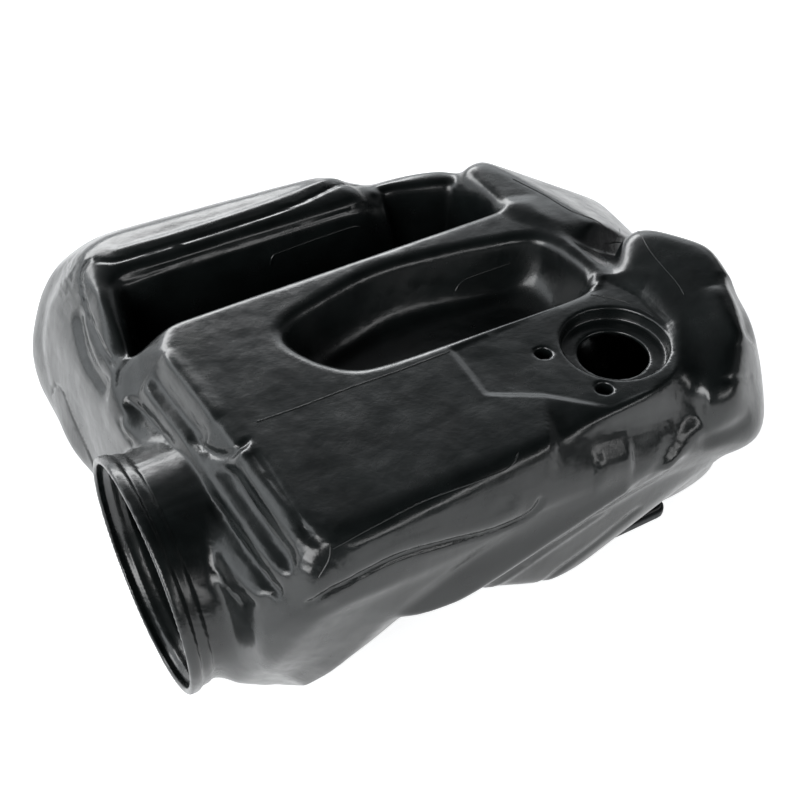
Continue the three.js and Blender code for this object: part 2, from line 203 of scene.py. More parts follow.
def studio_world():
    world = bpy.data.worlds.new("studio")
    bpy.context.scene.world = world
    world.use_nodes = True
    tree = world.node_tree
    tree.nodes.clear()
    where = add(tree, "ShaderNodeTexCoord")
    height = add(tree, "ShaderNodeSeparateXYZ", {0: where.outputs["Generated"]})
    ramp = add(tree, "ShaderNodeValToRGB", {0: height.outputs["Z"]})
    while len(ramp.color_ramp.elements) < len(SKY_LEVELS):
        ramp.color_ramp.elements.new(0.5)
    for element, (position, level) in zip(ramp.color_ramp.elements, SKY_LEVELS):
        element.position = position
        element.color = (0.93 * level, 0.97 * level, 1.0 * level, 1)
    side = add(tree, "ShaderNodeVectorMath", {
        0: where.outputs["Generated"], 1: (-0.60, 0.80, 0.0)}, operation="DOT_PRODUCT")
    share = add(tree, "ShaderNodeMapRange", {
        "Value": side.outputs["Value"], "From Min": -0.35, "From Max": 0.45,
        "To Min": 0.06, "To Max": 1.0}, interpolation_type="SMOOTHSTEP")
    strength = maths(tree, "MULTIPLY", share.outputs["Result"], WORLD_STRENGTH)
    sky = add(tree, "ShaderNodeBackground", {"Color": ramp.outputs["Color"], "Strength": strength})
    add(tree, "ShaderNodeOutputWorld", {"Surface": sky.outputs["Background"]})


def softbox(name, spot, target, size, power):
    """A rectangular studio lamp at a design point, turned towards another."""
    data = bpy.data.lights.new(name, "AREA")
    data.shape = "RECTANGLE"
    data.size, data.size_y = size
    data.energy = power
    lamp = linked(name, data)
    spot = Vector(place(spot))
    lamp.matrix_world = Matrix.Translation(spot) @ (
        (Vector(place(target)) - spot).to_track_quat("-Z", "Y").to_matrix().to_4x4())


FLOOR_GLOW = 0.78
WORLD_STRENGTH = 2.3
# The sky's brightness by height, from straight down (0) to straight up (1).
SKY_LEVELS = [
    (0.0, 0.40), (0.14, 0.65), (0.28, 1.0), (0.44, 0.85), (0.60, 0.20), (0.74, 0.07), (1.0, 0.05)]
studio_floor()
studio_world()
softbox("front_softbox", (-700, -500, 500), (120, 0, 0), (0.7, 0.5), 6)
softbox("left_strip", (100, 900, 420), (120, 60, 0), (1.1, 0.25), 5)
softbox("right_strip", (684, -1350, 640), (160, -90, 40), (1.3, 0.22), 3.5)
bpy.context.scene.view_settings.view_transform = "Standard"
print("stage: light table, graded room, three softboxes")

# %% [markdown]
# ## Materials
#
# Each finish is procedural and scaled in real millimetres from Object coordinates, which are metres
# in the row frame. A helper starts every one of them: a Principled shader, the coordinates, and a
# bump built from layers of (height, depth in millimetres).


# %% A material from colour, gloss and layers of surface height
def finish_material(name, colour, roughness, metallic=0.0, specular=0.5, colour_noise=None,
                    gloss_noise=None, layers=()):
    """A named finish.

    colour_noise: (second hex colour, pattern size in mm), mixed in by a soft noise.
    gloss_noise: (second roughness, pattern size in mm).
    layers: (size in mm as x, y, z, depth in mm, detail) bump layers, from coarse to fine.
    """
    material, tree, shader = principled(name, {
        "Base Color": srgb(colour), "Roughness": roughness, "Metallic": metallic,
        "Specular IOR Level": specular})
    where = add(tree, "ShaderNodeTexCoord").outputs["Object"]

    def noise(size, detail=3.0):
        scaled = add(tree, "ShaderNodeMapping", {
            "Vector": where, "Scale": [1000 / s for s in size]})
        return add(tree, "ShaderNodeTexNoise", {
            "Vector": scaled.outputs["Vector"], "Scale": 1.0, "Detail": detail, "Roughness": 0.55,
        }).outputs[0]

    if colour_noise:
        second, size = colour_noise
        spread = add(tree, "ShaderNodeMapRange", {
            "Value": noise((size,) * 3, 4.0), "From Min": 0.35, "From Max": 0.65})
        mixed = add(tree, "ShaderNodeMix", {
            0: spread.outputs["Result"], 6: srgb(colour), 7: srgb(second)}, data_type="RGBA")
        tree.links.new(mixed.outputs[2], shader.inputs["Base Color"])
    if gloss_noise:
        second, size = gloss_noise
        spread = add(tree, "ShaderNodeMapRange", {
            "Value": noise((size,) * 3, 4.0), "From Min": 0.3, "From Max": 0.7,
            "To Min": roughness, "To Max": second})
        tree.links.new(spread.outputs["Result"], shader.inputs["Roughness"])
    normal = None
    for *size, depth, detail in layers:
        bump = add(tree, "ShaderNodeBump", {
            "Height": noise(size, detail), "Distance": 0.001 * depth, "Strength": 1.0})
        if normal is not None:
            tree.links.new(normal, bump.inputs["Normal"])
        normal = bump.outputs["Normal"]
    if normal is not None:
        tree.links.new(normal, shader.inputs["Normal"])
    return material


# Blow-moulded polyethylene: nearly black, a waxy gloss that breaks up where the parison stretched,
# faint vertical draw lines, and the fine sand-blast of the mould.
blow_moulded = finish_material(
    "blow_moulded_polyethylene", "0D1010", 0.18, specular=0.62,
    colour_noise=("151919", 22), gloss_noise=(0.29, 14),
    layers=[(30, 30, 34, 0.9, 2.0), (4.5, 4.5, 20, 0.12, 3.0), (0.9, 0.9, 0.9, 0.032, 3.0)])

# Glass-filled nylon: duller and slightly grey, with the mottled skin the fibres leave.
glass_filled = finish_material(
    "glass_filled_nylon", "1D1F21", 0.48, specular=0.45,
    colour_noise=("282B2D", 6), gloss_noise=(0.60, 5),
    layers=[(3.0, 3.0, 3.0, 0.05, 4.0), (0.5, 0.5, 0.5, 0.03, 3.0)])

# Moulded EPDM rubber: a soft charcoal bloom that never shines.
rubber = finish_material(
    "moulded_epdm_rubber", "151515", 0.66, specular=0.35,
    colour_noise=("262627", 9), gloss_noise=(0.82, 7),
    layers=[(0.8, 0.8, 0.8, 0.04, 3.0)])

# Zinc plating with a clear passivation: bright, faintly cloudy, with a fine rolled grain.
zinc_plated = finish_material(
    "zinc_plated_steel", "B6B9BC", 0.26, metallic=1.0,
    colour_noise=("9FA4AC", 5), gloss_noise=(0.40, 3),
    layers=[(0.4, 0.4, 0.4, 0.012, 3.0)])

# Stainless strip: drawn through rolls, so its fine scratches run round the band.
stainless_strip = finish_material(
    "rolled_stainless_strip", "C3C5C6", 0.22, metallic=1.0,
    colour_noise=("A9ABAD", 8), gloss_noise=(0.34, 4),
    layers=[(0.25, 6.0, 6.0, 0.01, 3.0)])

# Resin-treated paper: fibrous, warm and completely matt.
filter_paper = finish_material(
    "resin_treated_filter_paper", "D8CBA1", 0.92, specular=0.2,
    colour_noise=("C7B88A", 7), gloss_noise=(0.98, 3),
    layers=[(0.6, 0.25, 0.25, 0.05, 4.0)])

finishes = {
    "housing_plastic": blow_moulded,
    "outlet_plastic": glass_filled,
    "rubber": rubber,
    "zinc_steel": zinc_plated,
    "stainless_steel": stainless_strip,
    "filter_paper": filter_paper,
}
for part in frame["record"]["subparts"]:
    data = frame["nodes"][part["node"]].data
    data.materials.clear()
    data.materials.append(finishes[part["material_slot"]])
print("materials:", ", ".join(m.name for m in finishes.values()))

# %% [markdown]
# ## Shapes as distance fields
#
# A blown shell has no sharp edges: soft blocks run into each other with generous fillets, and the
# wall follows the outside at an even distance. That is exactly what a distance field gives. Each
# block is a number at every point of a grid, negative inside. Blocks join with a smooth minimum
# and are cut with a smooth maximum, and the surface is drawn where the number passes zero.

# %% Grid and soft blocks
FAR = 60.0


class Grid:
    """A box of sample points, in design millimetres."""

    def __init__(self, low, high, step):
        self.step = step
        self.low = np.array(low, float)
        self.count = np.ceil((np.array(high) - self.low) / step).astype(int) + 1
        self.axes = [(start + step * np.arange(count)).astype(np.float32)
                     for start, count in zip(self.low, self.count)]

    def window(self, low, high):
        """The index window of a smaller box, and its three coordinate arrays."""
        a = np.clip(np.floor((np.array(low) - self.low) / self.step).astype(int), 0, self.count - 1)
        b = np.clip(np.ceil((np.array(high) - self.low) / self.step).astype(int) + 1, 1, self.count)
        where = tuple(slice(a[i], b[i]) for i in range(3))
        x, y, z = (axis[w] for axis, w in zip(self.axes, where))
        return where, x[:, None, None], y[None, :, None], z[None, None, :]

    def empty(self):
        return np.full(tuple(self.count), FAR, np.float32)


def smooth_max(a, b, reach):
    overlap = np.maximum(reach - np.abs(a - b), 0) / reach
    return np.maximum(a, b) + overlap * overlap * reach * np.float32(0.25)


def smooth_min(a, b, reach):
    return -smooth_max(-a, -b, reach)


def even_directions():
    """42 directions spread over the sphere: an icosahedron's corners and edge middles."""
    golden = (1 + 5 ** 0.5) / 2
    corners = []
    for a in (-1, 1):
        for b in (-golden, golden):
            corners += [(0, a, b), (a, b, 0), (b, 0, a)]
    corners = np.array(corners)
    corners /= np.linalg.norm(corners, axis=1)[:, None]
    middles = np.array([corners[i] + corners[j] for i in range(12) for j in range(i)
                        if corners[i] @ corners[j] > 0.4])
    middles /= np.linalg.norm(middles, axis=1)[:, None]
    return np.vstack([corners, middles])


DIRECTIONS = even_directions()


def support_planes(balls):
    """The planes that wrap a set of balls (x, y, z, radius): normals and distances."""
    balls = np.array(balls, float)
    centres, radii = balls[:, :3], balls[:, 3]
    normals = []
    for i in range(len(balls)):
        for j in range(i + 1, len(balls)):
            for k in range(j + 1, len(balls)):
                normal = np.cross(centres[j] - centres[i], centres[k] - centres[i])
                length = np.linalg.norm(normal)
                if length < 1e-6:
                    continue
                for side in (normal / length, -normal / length):
                    outermost = (centres @ side).max() <= centres[i] @ side + 1e-3
                    if outermost and all(side @ other < 0.9995 for other in normals):
                        normals.append(side)
    for direction in DIRECTIONS:
        if all(direction @ other < 0.95 for other in normals):
            normals.append(direction)
    normals = np.array(normals)
    return normals, (centres @ normals.T + radii[:, None]).max(0)


def block(grid, edge, *balls, pad=24):
    """A soft convex block wrapped round balls, its edges rounded by about `edge`."""
    array = np.array(balls, float)
    low = (array[:, :3] - array[:, 3:]).min(0) - pad
    high = (array[:, :3] + array[:, 3:]).max(0) + pad
    where, x, y, z = grid.window(low, high)
    softness = np.float32(edge / 7)
    total = 0
    for (a, b, c), distance in zip(*support_planes(balls)):
        level = (np.float32(a) * x + np.float32(b) * y + np.float32(c) * z) - np.float32(distance)
        total = total + np.exp(np.clip(level / softness, -40, 40), dtype=np.float32)
    field = grid.empty()
    field[where] = np.minimum(softness * np.log(total), FAR)
    return field


# %% [markdown]
# ## Working on a field
#
# Small forms are added to the field in place. A crease is drawn as a few points near the skin,
# which slide onto it and are joined by a smooth curve; the field is then pushed in or out along
# that curve. A crumple is a patch of small waves, and an upright bar makes every bore and boss.


# %% Creases, crumples and holes
def smooth_path(points, step=4.0):
    """A Catmull-Rom curve through points, sampled every few millimetres."""
    points = np.array(points, float)
    if len(points) == 2:
        return points
    padded = np.vstack([2 * points[0] - points[1], points, 2 * points[-1] - points[-2]])
    samples = []
    for i in range(len(points) - 1):
        p0, p1, p2, p3 = padded[i:i + 4]
        count = max(2, int(np.linalg.norm(p2 - p1) / step))
        for t in np.arange(count) / count:
            samples.append(0.5 * (2 * p1 + (p2 - p0) * t + (2 * p0 - 5 * p1 + 4 * p2 - p3) * t * t
                                  + (3 * p1 - p0 - 3 * p2 + p3) * t ** 3))
    samples.append(points[-1])
    return np.array(samples)


def sample(field, low, step, points):
    """The field between its samples, at points in design millimetres."""
    at = (points - low) / step
    cell = np.clip(np.floor(at).astype(int), 0, np.array(field.shape) - 2)
    f = (at - cell).astype(np.float32)
    value = 0
    for i in (0, 1):
        for j in (0, 1):
            for k in (0, 1):
                weight = ((f[:, 0] if i else 1 - f[:, 0]) * (f[:, 1] if j else 1 - f[:, 1])
                          * (f[:, 2] if k else 1 - f[:, 2]))
                value = value + weight * field[cell[:, 0] + i, cell[:, 1] + j, cell[:, 2] + k]
    return value


def gradient(field, low, step, points, reach):
    rise = [sample(field, low, step, points + offset) - sample(field, low, step, points - offset)
            for offset in np.eye(3) * reach]
    rise = np.stack(rise, 1)
    return rise / np.maximum(np.linalg.norm(rise, axis=1)[:, None], 1e-9)


def settle(grid, field, points):
    """Moves points onto the surface along the field's slope."""
    for _ in range(4):
        slope = gradient(field, grid.low, grid.step, points, grid.step)
        points = points - slope * sample(field, grid.low, grid.step, points)[:, None]
    return points


def crease(grid, field, depth, width, *points):
    """Sinks a soft groove along a line, or raises a ridge if the depth is negative.

    The line is laid on the surface first, and it fades out over its last millimetres.
    """
    points = settle(grid, field, smooth_path(points))
    lengths = np.linalg.norm(np.diff(points, axis=0), axis=1)
    total, fade = lengths.sum(), min(9.0, lengths.sum() / 4)
    reach = width * 2.6
    passed = 0.0
    where, x, y, z = grid.window(points.min(0) - reach, points.max(0) + reach)
    best = np.full((x.shape[0], y.shape[1], z.shape[2]), 1e9, np.float32)
    strength = np.zeros_like(best)
    for start, along, length in zip(points[:-1], np.diff(points, axis=0), lengths):
        low = np.minimum(start, start + along) - reach
        high = np.maximum(start, start + along) + reach
        near, x, y, z = grid.window(low, high)
        local = tuple(slice(n.start - w.start, n.stop - w.start) for n, w in zip(near, where))
        dx, dy, dz = x - start[0], y - start[1], z - start[2]
        t = np.clip((dx * along[0] + dy * along[1] + dz * along[2]) / (length * length), 0, 1)
        square = (dx - t * along[0]) ** 2 + (dy - t * along[1]) ** 2 + (dz - t * along[2]) ** 2
        run = passed + t * length
        closer = square < best[local]
        fading = np.clip(np.minimum(run, total - run) / fade, 0, 1)
        strength[local] = np.where(closer, fading * (2 - fading), strength[local])
        best[local] = np.where(closer, square, best[local])
        passed += length
    field[where] += (depth * strength * np.exp(-best / (width * width))).astype(np.float32)


def crumple(grid, field, depth, radius, pitch, *centre):
    """Puckers a round patch with small uneven dimples, as where the plastic chilled too soon."""
    centre = np.array(centre, float)
    where, x, y, z = grid.window(centre - 2.2 * radius, centre + 2.2 * radius)
    square = (x - centre[0]) ** 2 + (y - centre[1]) ** 2 + (z - centre[2]) ** 2
    fade = np.exp(-square / radius ** 2)
    wave = np.sin(x / pitch + 1.3 * np.sin(y / pitch))
    wave = wave * np.sin(y / pitch - 1.1 * np.sin(z / pitch) + 0.7)
    wave = wave + 0.5 * np.sin(2.1 * z / pitch + x / pitch)
    field[where] += (depth * fade * wave).astype(np.float32)


def upright(grid, x0, y0, radius, z0, z1):
    """A round bar along z, as a field over its own window."""
    reach = radius + 8
    where, x, y, z = grid.window(
        (x0 - reach, y0 - reach, z0 - 8), (x0 + reach, y0 + reach, z1 + 8))
    across = np.sqrt((x - x0) ** 2 + (y - y0) ** 2) - radius
    return where, np.maximum(across, np.maximum(z0 - z, z - z1)).astype(np.float32)


print("field tools:", len(DIRECTIONS), "support directions")

# %% [markdown]
# ## The shell's body
#
# The housing is blown in one piece from a polyethylene tube. Convex blocks stand for the volumes
# that the two mould halves form: the flat-topped main block, the hull and keel under it, two
# skirts, the lobe, the walls that close the trough, the rear block and its bump. The trough, its
# deeper bay and the scooped pocket are cut from them.

# %% Blocks of the body
STEP = 1.5
WALL = 3.0
TOP = 80.0
FLOOR = -40.0
KEEL = -68.0

grid = Grid((-8, -140, -84), (366, 228, 112), STEP)

main_block = block(
    grid, 7, (58, 74, TOP - 8, 8), (64, -10, TOP - 8, 8), (67, -79, TOP - 8, 8),
    (224, -72, TOP - 8, 8), (262, -60, TOP - 8, 8), (256, 76, TOP - 8, 8),
    (35, 72, 38, 14), (46, -60, 42, 14), (56, -80, 52, 12),
    (166, -82, 54, 12), (290, -76, 36, 14), (314, 20, 34, 14), (262, 84, 30, 14))
hull = block(
    grid, 14, (33, 80, 28, 14), (38, -56, 30, 14), (54, -76, 34, 14), (284, -72, 32, 14),
    (312, -30, 30, 14), (310, 60, 24, 14), (262, 104, 24, 14),
    (28, 150, FLOOR + 14, 14), (31, -44, FLOOR + 14, 14), (226, -54, FLOOR + 10, 10),
    (296, -54, FLOOR + 10, 10), (304, 50, FLOOR + 10, 10), (250, 120, FLOOR + 14, 14))
keel = block(
    grid, 14, (34, 60, 0, 14), (33, -48, 0, 14), (190, -50, 0, 14), (190, 60, 0, 14),
    (38, 54, KEEL + 12, 12), (37, -34, KEEL + 12, 12), (180, -28, KEEL + 12, 12),
    (180, 54, KEEL + 12, 12))
front_skirt = block(
    grid, 12, (46, -74, 32, 14), (112, -72, 36, 14), (40, -68, 2, 12), (78, -68, -13, 10),
    (52, -44, -50, 12), (86, -44, -40, 12))
rear_skirt = block(
    grid, 12, (140, -74, 34, 12), (290, -78, 30, 12), (150, -74, -2, 12), (194, -74, -24, 10),
    (222, -72, -6, 12), (284, -74, 18, 12), (180, -40, -30, 12))
lobe = block(
    grid, 14, (54, 142, TOP - 12, 12), (190, 138, TOP - 12, 12), (60, 174, 48, 22), (186, 162, 48, 22),
    (42, 182, 34, 20), (190, 176, 16, 22), (25, 188, 2, 18), (21, 184, FLOOR + 14, 14),
    (21, 122, FLOOR + 14, 14), (194, 174, FLOOR + 16, 16), (200, 116, FLOOR + 16, 16))
front_wall = block(
    grid, 10, (36, 76, 50, 9), (47, 144, 68, 9), (28, 104, 34, 14), (32, 60, 26, 14), (30, 164, 30, 14),
    (22, 130, FLOOR + 14, 14), (28, 60, FLOOR + 14, 14), (60, 130, FLOOR + 14, 14))
back_wall = block(
    grid, 10, (204, 146, 56, 12), (254, 134, 58, 12), (204, 150, FLOOR + 16, 14),
    (256, 136, FLOOR + 16, 14), (210, 120, 0, 12), (250, 110, 0, 12))
rear_block = block(
    grid, 8, (263, 121, TOP - 8, 8), (268, 84, TOP - 8, 8), (282, 44, TOP - 8, 8),
    (300, 128, 42, 12), (324, 92, 42, 12), (326, 56, 36, 14), (250, 120, -10, 14), (306, 110, -10, 14),
    (318, 50, 0, 14))
rear_bump = block(
    grid, 16, (300, 10, 76, 16), (314, -12, 76, 16), (302, -54, 73, 16), (274, -80, 62, 16),
    (326, 4, 40, 16), (322, -44, 38, 16), (298, -80, 32, 16))
trough = block(
    grid, 12, (50, 92, 8, 8), (56, 116, 8, 8), (240, 92, 8, 8), (238, 114, 8, 8),
    (44, 88, TOP + 30, 8), (54, 122, TOP + 30, 8), (250, 88, TOP + 30, 8), (246, 118, TOP + 30, 8))
bay = block(
    grid, 12, (224, 104, 20, 8), (240, 102, 20, 8), (224, 124, 20, 8), (238, 118, 20, 8),
    (222, 100, TOP + 30, 8), (246, 100, TOP + 30, 8), (218, 136, TOP + 30, 8), (244, 126, TOP + 30, 8))
pocket = block(
    grid, 24, (124, 34, 61, 16), (138, 20, 61, 16), (246, 16, 61, 16), (244, 36, 61, 16),
    (172, 46, 61, 16), (111, 42, TOP + 20, 16), (122, 14, TOP + 20, 16),
    (254, 8, TOP + 20, 16), (250, 40, TOP + 20, 16), (174, 58, TOP + 20, 16))

skin = smooth_min(main_block, hull, 6)
for part, fillet in ((keel, 14), (front_skirt, 10), (rear_skirt, 10), (lobe, 8), (front_wall, 10),
                     (back_wall, 10), (rear_block, 8), (rear_bump, 10)):
    skin = smooth_min(skin, part, fillet)
for hollow, fillet in ((trough, 7), (bay, 7), (pocket, 6)):
    skin = smooth_max(skin, -hollow, fillet)
print("body on a grid of", " x ".join(str(n) for n in skin.shape))

# %% [markdown]
# ## Folds, flutes and creases
#
# What makes a blown shell read as one is its draped detail: the flutes across the front slope,
# the lip under the right shoulder with the skirt hanging behind it, and the creases where the two
# mould halves press the lobe and the bump into shape. Soft grooves and ridges follow lines on the
# skin; each is a depth and a width in millimetres.

# %% Ledge and skirt on the right side
ledge = block(
    grid, 5, (240, -88, 40, 6), (206, -91, 36, 6), (175, -91, 27, 6), (150, -90, 18, 6),
    (125, -88, 12, 6), (98, -85, 12, 6), (250, -76, 60, 6), (168, -79, 56, 6),
    (120, -77, 40, 6), (100, -76, 26, 6), (226, -60, 4, 8), (160, -60, -12, 8), (112, -62, -2, 8))
skirt_flap = block(
    grid, 4, (46, -78, 42, 8), (62, -84, 44, 6), (100, -86, 46, 6), (148, -86, 44, 6), (162, -85, 51, 5),
    (125, -86, 36, 6), (104, -86, 27, 6), (94, -85, 19, 6), (74, -78, -8, 6),
    (58, -66, -28, 8), (42, -68, 0, 10), (52, -44, -50, 12), (78, -44, -40, 10))
skin = smooth_min(skin, ledge, 5)
skin = smooth_min(skin, skirt_flap, 3)

# Each line: depth (+ sunk, - raised), width, then its points.
SKIN_LINES = [
    # lip under the right shoulder, with the roll just above it
    (3.4, 1.7, (47, -90, 48), (52, -92, 50), (60, -93, 54), (90, -93, 58), (114, -93, 54),
     (140, -93, 48), (157, -94, 47), (165, -92, 51), (167, -91, 57)),
    (-1.3, 4.5, (60, -92, 60), (90, -92, 64), (116, -92, 60), (140, -92, 55), (158, -92, 56)),
    # flutes of the front slope, from the top edge down to the deep crease
    (1.5, 2.1, (57, -22, 79), (57, -80, 78)),
    (-1.1, 2.8, (52, -24, 75), (52, -80, 74)),
    (2.8, 3.9, (46, -14, 69), (47, -30, 68), (47, -82, 67)),
    (-2.6, 3.8, (36, 62, 60), (40, 20, 61), (41, -30, 61), (41, -84, 61)),
    (4.4, 2.5, (25, 66, 53), (28, 50, 54), (31, 25, 55), (34, -8, 55), (35, -48, 55), (37, -84, 53)),
    (-2.4, 4.4, (23, 62, 43), (27, 20, 45), (29, -20, 46), (30, -60, 46), (34, -76, 44)),
    (1.6, 1.6, (21, 66, 43), (23, 40, 38), (24, 10, 39), (25, -22, 40), (27, -46, 38), (31, -66, 34)),
    # the rounded pad pressed into the slope
    (2.6, 4.6, (42, 60, 65), (44, 24, 66), (46, 2, 68)),
    (-1.3, 5.0, (50, 60, 74), (52, 20, 75), (53, 4, 76)),
    (2.6, 1.5, (40, 14, 63), (43, 2, 66), (46, -9, 70), (50, -16, 75), (55, -17, 79), (59, -14, 80)),
    (-1.6, 2.2, (46, -15, 69), (50, -22, 74), (56, -22, 79)),
    # lobe: the crease along its top, the seam down its front and the hollow outside it
    (1.5, 1.1, (44, 149, 76), (50, 140, 80), (84, 138, 80), (119, 137, 80), (159, 139, 80),
     (204, 149, 72)),
    (-1.0, 3.0, (52, 147, 79), (84, 145, 80), (119, 145, 80), (159, 147, 79), (196, 154, 74)),
    (1.9, 1.2, (44, 149, 76), (36, 148, 73), (31, 136, 68), (29, 123, 64), (27, 100, 61), (27, 82, 60)),
    (3.4, 4.6, (25, 138, 58), (21, 122, 50), (19, 106, 47), (20, 88, 48), (22, 79, 50)),
    (-1.2, 2.4, (30, 128, 60), (27, 112, 56), (25, 94, 54)),
    (1.2, 1.1, (25, 73, 54), (29, 79, 60), (36, 78, 66)),
    (0.7, 1.6, (48, 130, 73), (90, 129, 73), (141, 128, 73), (200, 131, 70)),
    # arched panel on the lobe's front
    (1.3, 1.1, (6, 158, -12), (6, 150, 2), (8, 138, 5), (9, 124, -2), (10, 108, -14), (12, 98, -26)),
    # hollow and swellings under the port pad
    (3.0, 12.0, (180, -76, 78), (204, -86, 72), (236, -92, 66), (264, -92, 64)),
    (-2.4, 9.0, (198, -94, 58), (222, -96, 56)),
    (-1.4, 7.0, (244, -96, 54), (258, -94, 58)),
    # folds at the right rear
    (1.5, 4.6, (216, -97, 36), (230, -96, 38), (241, -93, 45), (252, -90, 56), (258, -88, 62)),
    (-1.6, 5.0, (240, -96, 34), (250, -92, 44), (266, -90, 52)),
    (1.4, 5.0, (262, -94, 40), (276, -92, 46), (290, -90, 48)),
    (3.4, 8.0, (322, -36, 84), (312, -56, 80), (306, -72, 74)),
    (-1.4, 5.0, (304, -40, 88), (296, -60, 85), (294, -74, 78)),
    (0.7, 1.5, (270, -86, 76), (284, -88, 73), (302, -86, 64)),
    # streaks where the skirt stretched over the mould
    (-0.8, 2.4, (120, -86, -2), (160, -88, 8), (200, -90, 22)),
    (-0.7, 2.2, (140, -80, -14), (180, -86, 2), (216, -88, 16)),
    (0.8, 2.0, (130, -84, -8), (170, -87, 5), (208, -89, 19)),
    (0.9, 2.6, (170, -72, -26), (206, -80, -12), (238, -84, 6)),
]
for depth, width, *points in SKIN_LINES:
    crease(grid, skin, depth, width, *points)
crumple(grid, skin, 0.35, 12.0, 1.9, 60, -78, 72)
crumple(grid, skin, 0.25, 15.0, 1.8, 30, 160, 62)
crumple(grid, skin, 0.4, 10.0, 2.4, 262, 2, 76)
print(len(SKIN_LINES), "creases and ridges, three crumpled patches")

# %% [markdown]
# ## Neck, port pad and lugs
#
# The neck is turned: a rim bead that holds the duct, a step and a plain band. The pad is milled
# flat in the mould so that a fitting seals on it, with a stepped round port and two blind screw
# holes. Three lugs on the far sides take the mounting grommets.

# %% Neck, pad, port and lugs
NECK_RIM, NECK_RADIUS, NECK_LENGTH, BEAD = 62.0, 59.0, 30.0, 5.0
PAD_HEIGHT = 79.0
PORT_X, PORT_Y = 243.0, -42.0
PORT_BORE, PORT_RECESS, PORT_DEPTH = 17.5, 26.5, 8.0
PORT_SCREWS = [(208, -31), (219, -66)]
# Each lug: its place, and whether its arm runs along y.
LUGS = [(70, 212, True), (165, 206, True), (342, 62, False)]
LUG_HEIGHT = -22.0
OUTLET_X, OUTLET_RADIUS = 246.0, 30.0
DRAIN_X, DRAIN_Y, DRAIN_HOLE = 110.0, 152.0, 6.0
OUTLET_SCREWS = [(219, -57), (273, -57), (219, 30), (273, 30)]

outside = skin.copy()

where, x, y, z = grid.window((-8, -70, -70), (60, 70, 70))
from_axis = np.sqrt(y * y + z * z)
neck_profile = np.array([
    (0, NECK_RIM - 0.6), (1.5, NECK_RIM), (BEAD, NECK_RIM), (BEAD + 2, NECK_RADIUS + 1.4),
    (11, NECK_RADIUS + 1.2), (12.5, NECK_RADIUS), (30, NECK_RADIUS)])
neck_radius = np.interp(x, *neck_profile.T).astype(np.float32)
neck = np.maximum(from_axis - neck_radius, np.maximum(-x, x - NECK_LENGTH - 12))
outside[where] = smooth_min(outside[where], neck.astype(np.float32), 5)

PAD_OUTLINE = np.array([
    (171, -9), (169, -42), (192, -56), (214, -78), (248, -77), (262, -64), (272, -44), (274, -18),
    (268, 0), (262, -4)], float)
where, x, y, z = grid.window((155, -95, 60), (300, 10, 112))
across = np.full((x.shape[0], y.shape[1], 1), FAR, np.float32)
inside = np.zeros_like(across, bool)
for (ax, ay), (bx, by) in zip(PAD_OUTLINE, np.roll(PAD_OUTLINE, -1, 0)):
    ex, ey = bx - ax, by - ay
    t = np.clip(((x - ax) * ex + (y - ay) * ey) / (ex * ex + ey * ey), 0, 1)
    across = np.minimum(across, np.sqrt((x - ax - t * ex) ** 2 + (y - ay - t * ey) ** 2))
    crosses = (ay > y) != (by > y)
    inside ^= crosses & (x < ax + (y - ay) * ex / (ey if ey else 1e-9))
across = np.where(inside, -across, across).astype(np.float32)
above_pad = np.maximum(across - 1.5 * (z - PAD_HEIGHT), PAD_HEIGHT - z)
outside[where] = smooth_max(outside[where], -above_pad, 2.0)

where, bar = upright(grid, PORT_X, PORT_Y, PORT_RECESS, PAD_HEIGHT - PORT_DEPTH, 112)
outside[where] = smooth_max(outside[where], -bar, 1.5)
for px, py in PORT_SCREWS:
    where, bar = upright(grid, px, py, 4.0, PAD_HEIGHT - 12, 112)
    outside[where] = smooth_max(outside[where], -bar, 1.0)

for lx, ly, along_y in LUGS:
    where, x, y, z = grid.window(
        (lx - 50, ly - 50, LUG_HEIGHT - 14), (lx + 24, ly + 24, LUG_HEIGHT + 14))
    along, side = (ly - y, x - lx) if along_y else (lx - x, y - ly)
    slab = np.sqrt(np.maximum(-along, 0) ** 2 + side ** 2) - 13
    slab = np.maximum(slab, along - 30)
    slab = smooth_max(slab + 0 * z, np.abs(z - LUG_HEIGHT) - 2.5 + 0 * slab, 1.6).astype(np.float32)
    outside[where] = smooth_min(outside[where], slab, 6)
print("neck, pad, port and", len(LUGS), "lugs")

# %% [markdown]
# ## Hollow it
#
# The wall is an even 3 mm, so the inside is the outside moved inwards. Bosses stay solid around
# the screws. The neck, port, outlet and drain are then opened through the wall.

# %% Wall, bosses and openings
cavity = outside + np.float32(WALL)
for px, py in PORT_SCREWS:
    where, bar = upright(grid, px, py, 7.0, PAD_HEIGHT - 16, PAD_HEIGHT)
    cavity[where] = smooth_max(cavity[where], -bar, 2)
for px, py in OUTLET_SCREWS:
    where, bar = upright(grid, px, py, 7.0, FLOOR - 4, FLOOR + 16)
    cavity[where] = smooth_max(cavity[where], -bar, 2)
where, x, y, z = grid.window((-8, -70, -70), (60, 70, 70))
bore_radius = np.interp(x, [BEAD, BEAD + 2], [NECK_RIM - 4, NECK_RADIUS - WALL]).astype(np.float32)
bore = np.maximum(np.sqrt(y * y + z * z) - bore_radius, x - NECK_LENGTH - 14)
cavity[where] = smooth_min(cavity[where], bore.astype(np.float32), 2)
shell = smooth_max(outside, -cavity, 1.0)
holes = [(PORT_X, PORT_Y, PORT_BORE, PAD_HEIGHT - PORT_DEPTH - 20, 112),
         (OUTLET_X, FILTER_Y, OUTLET_RADIUS + 0.3, FLOOR - 8, FLOOR + WALL + 2),
         (DRAIN_X, DRAIN_Y, DRAIN_HOLE, FLOOR - 8, FLOOR + WALL + 5)]
holes += [(px, py, 2.8, FLOOR - 8, FLOOR + 13) for px, py in OUTLET_SCREWS]
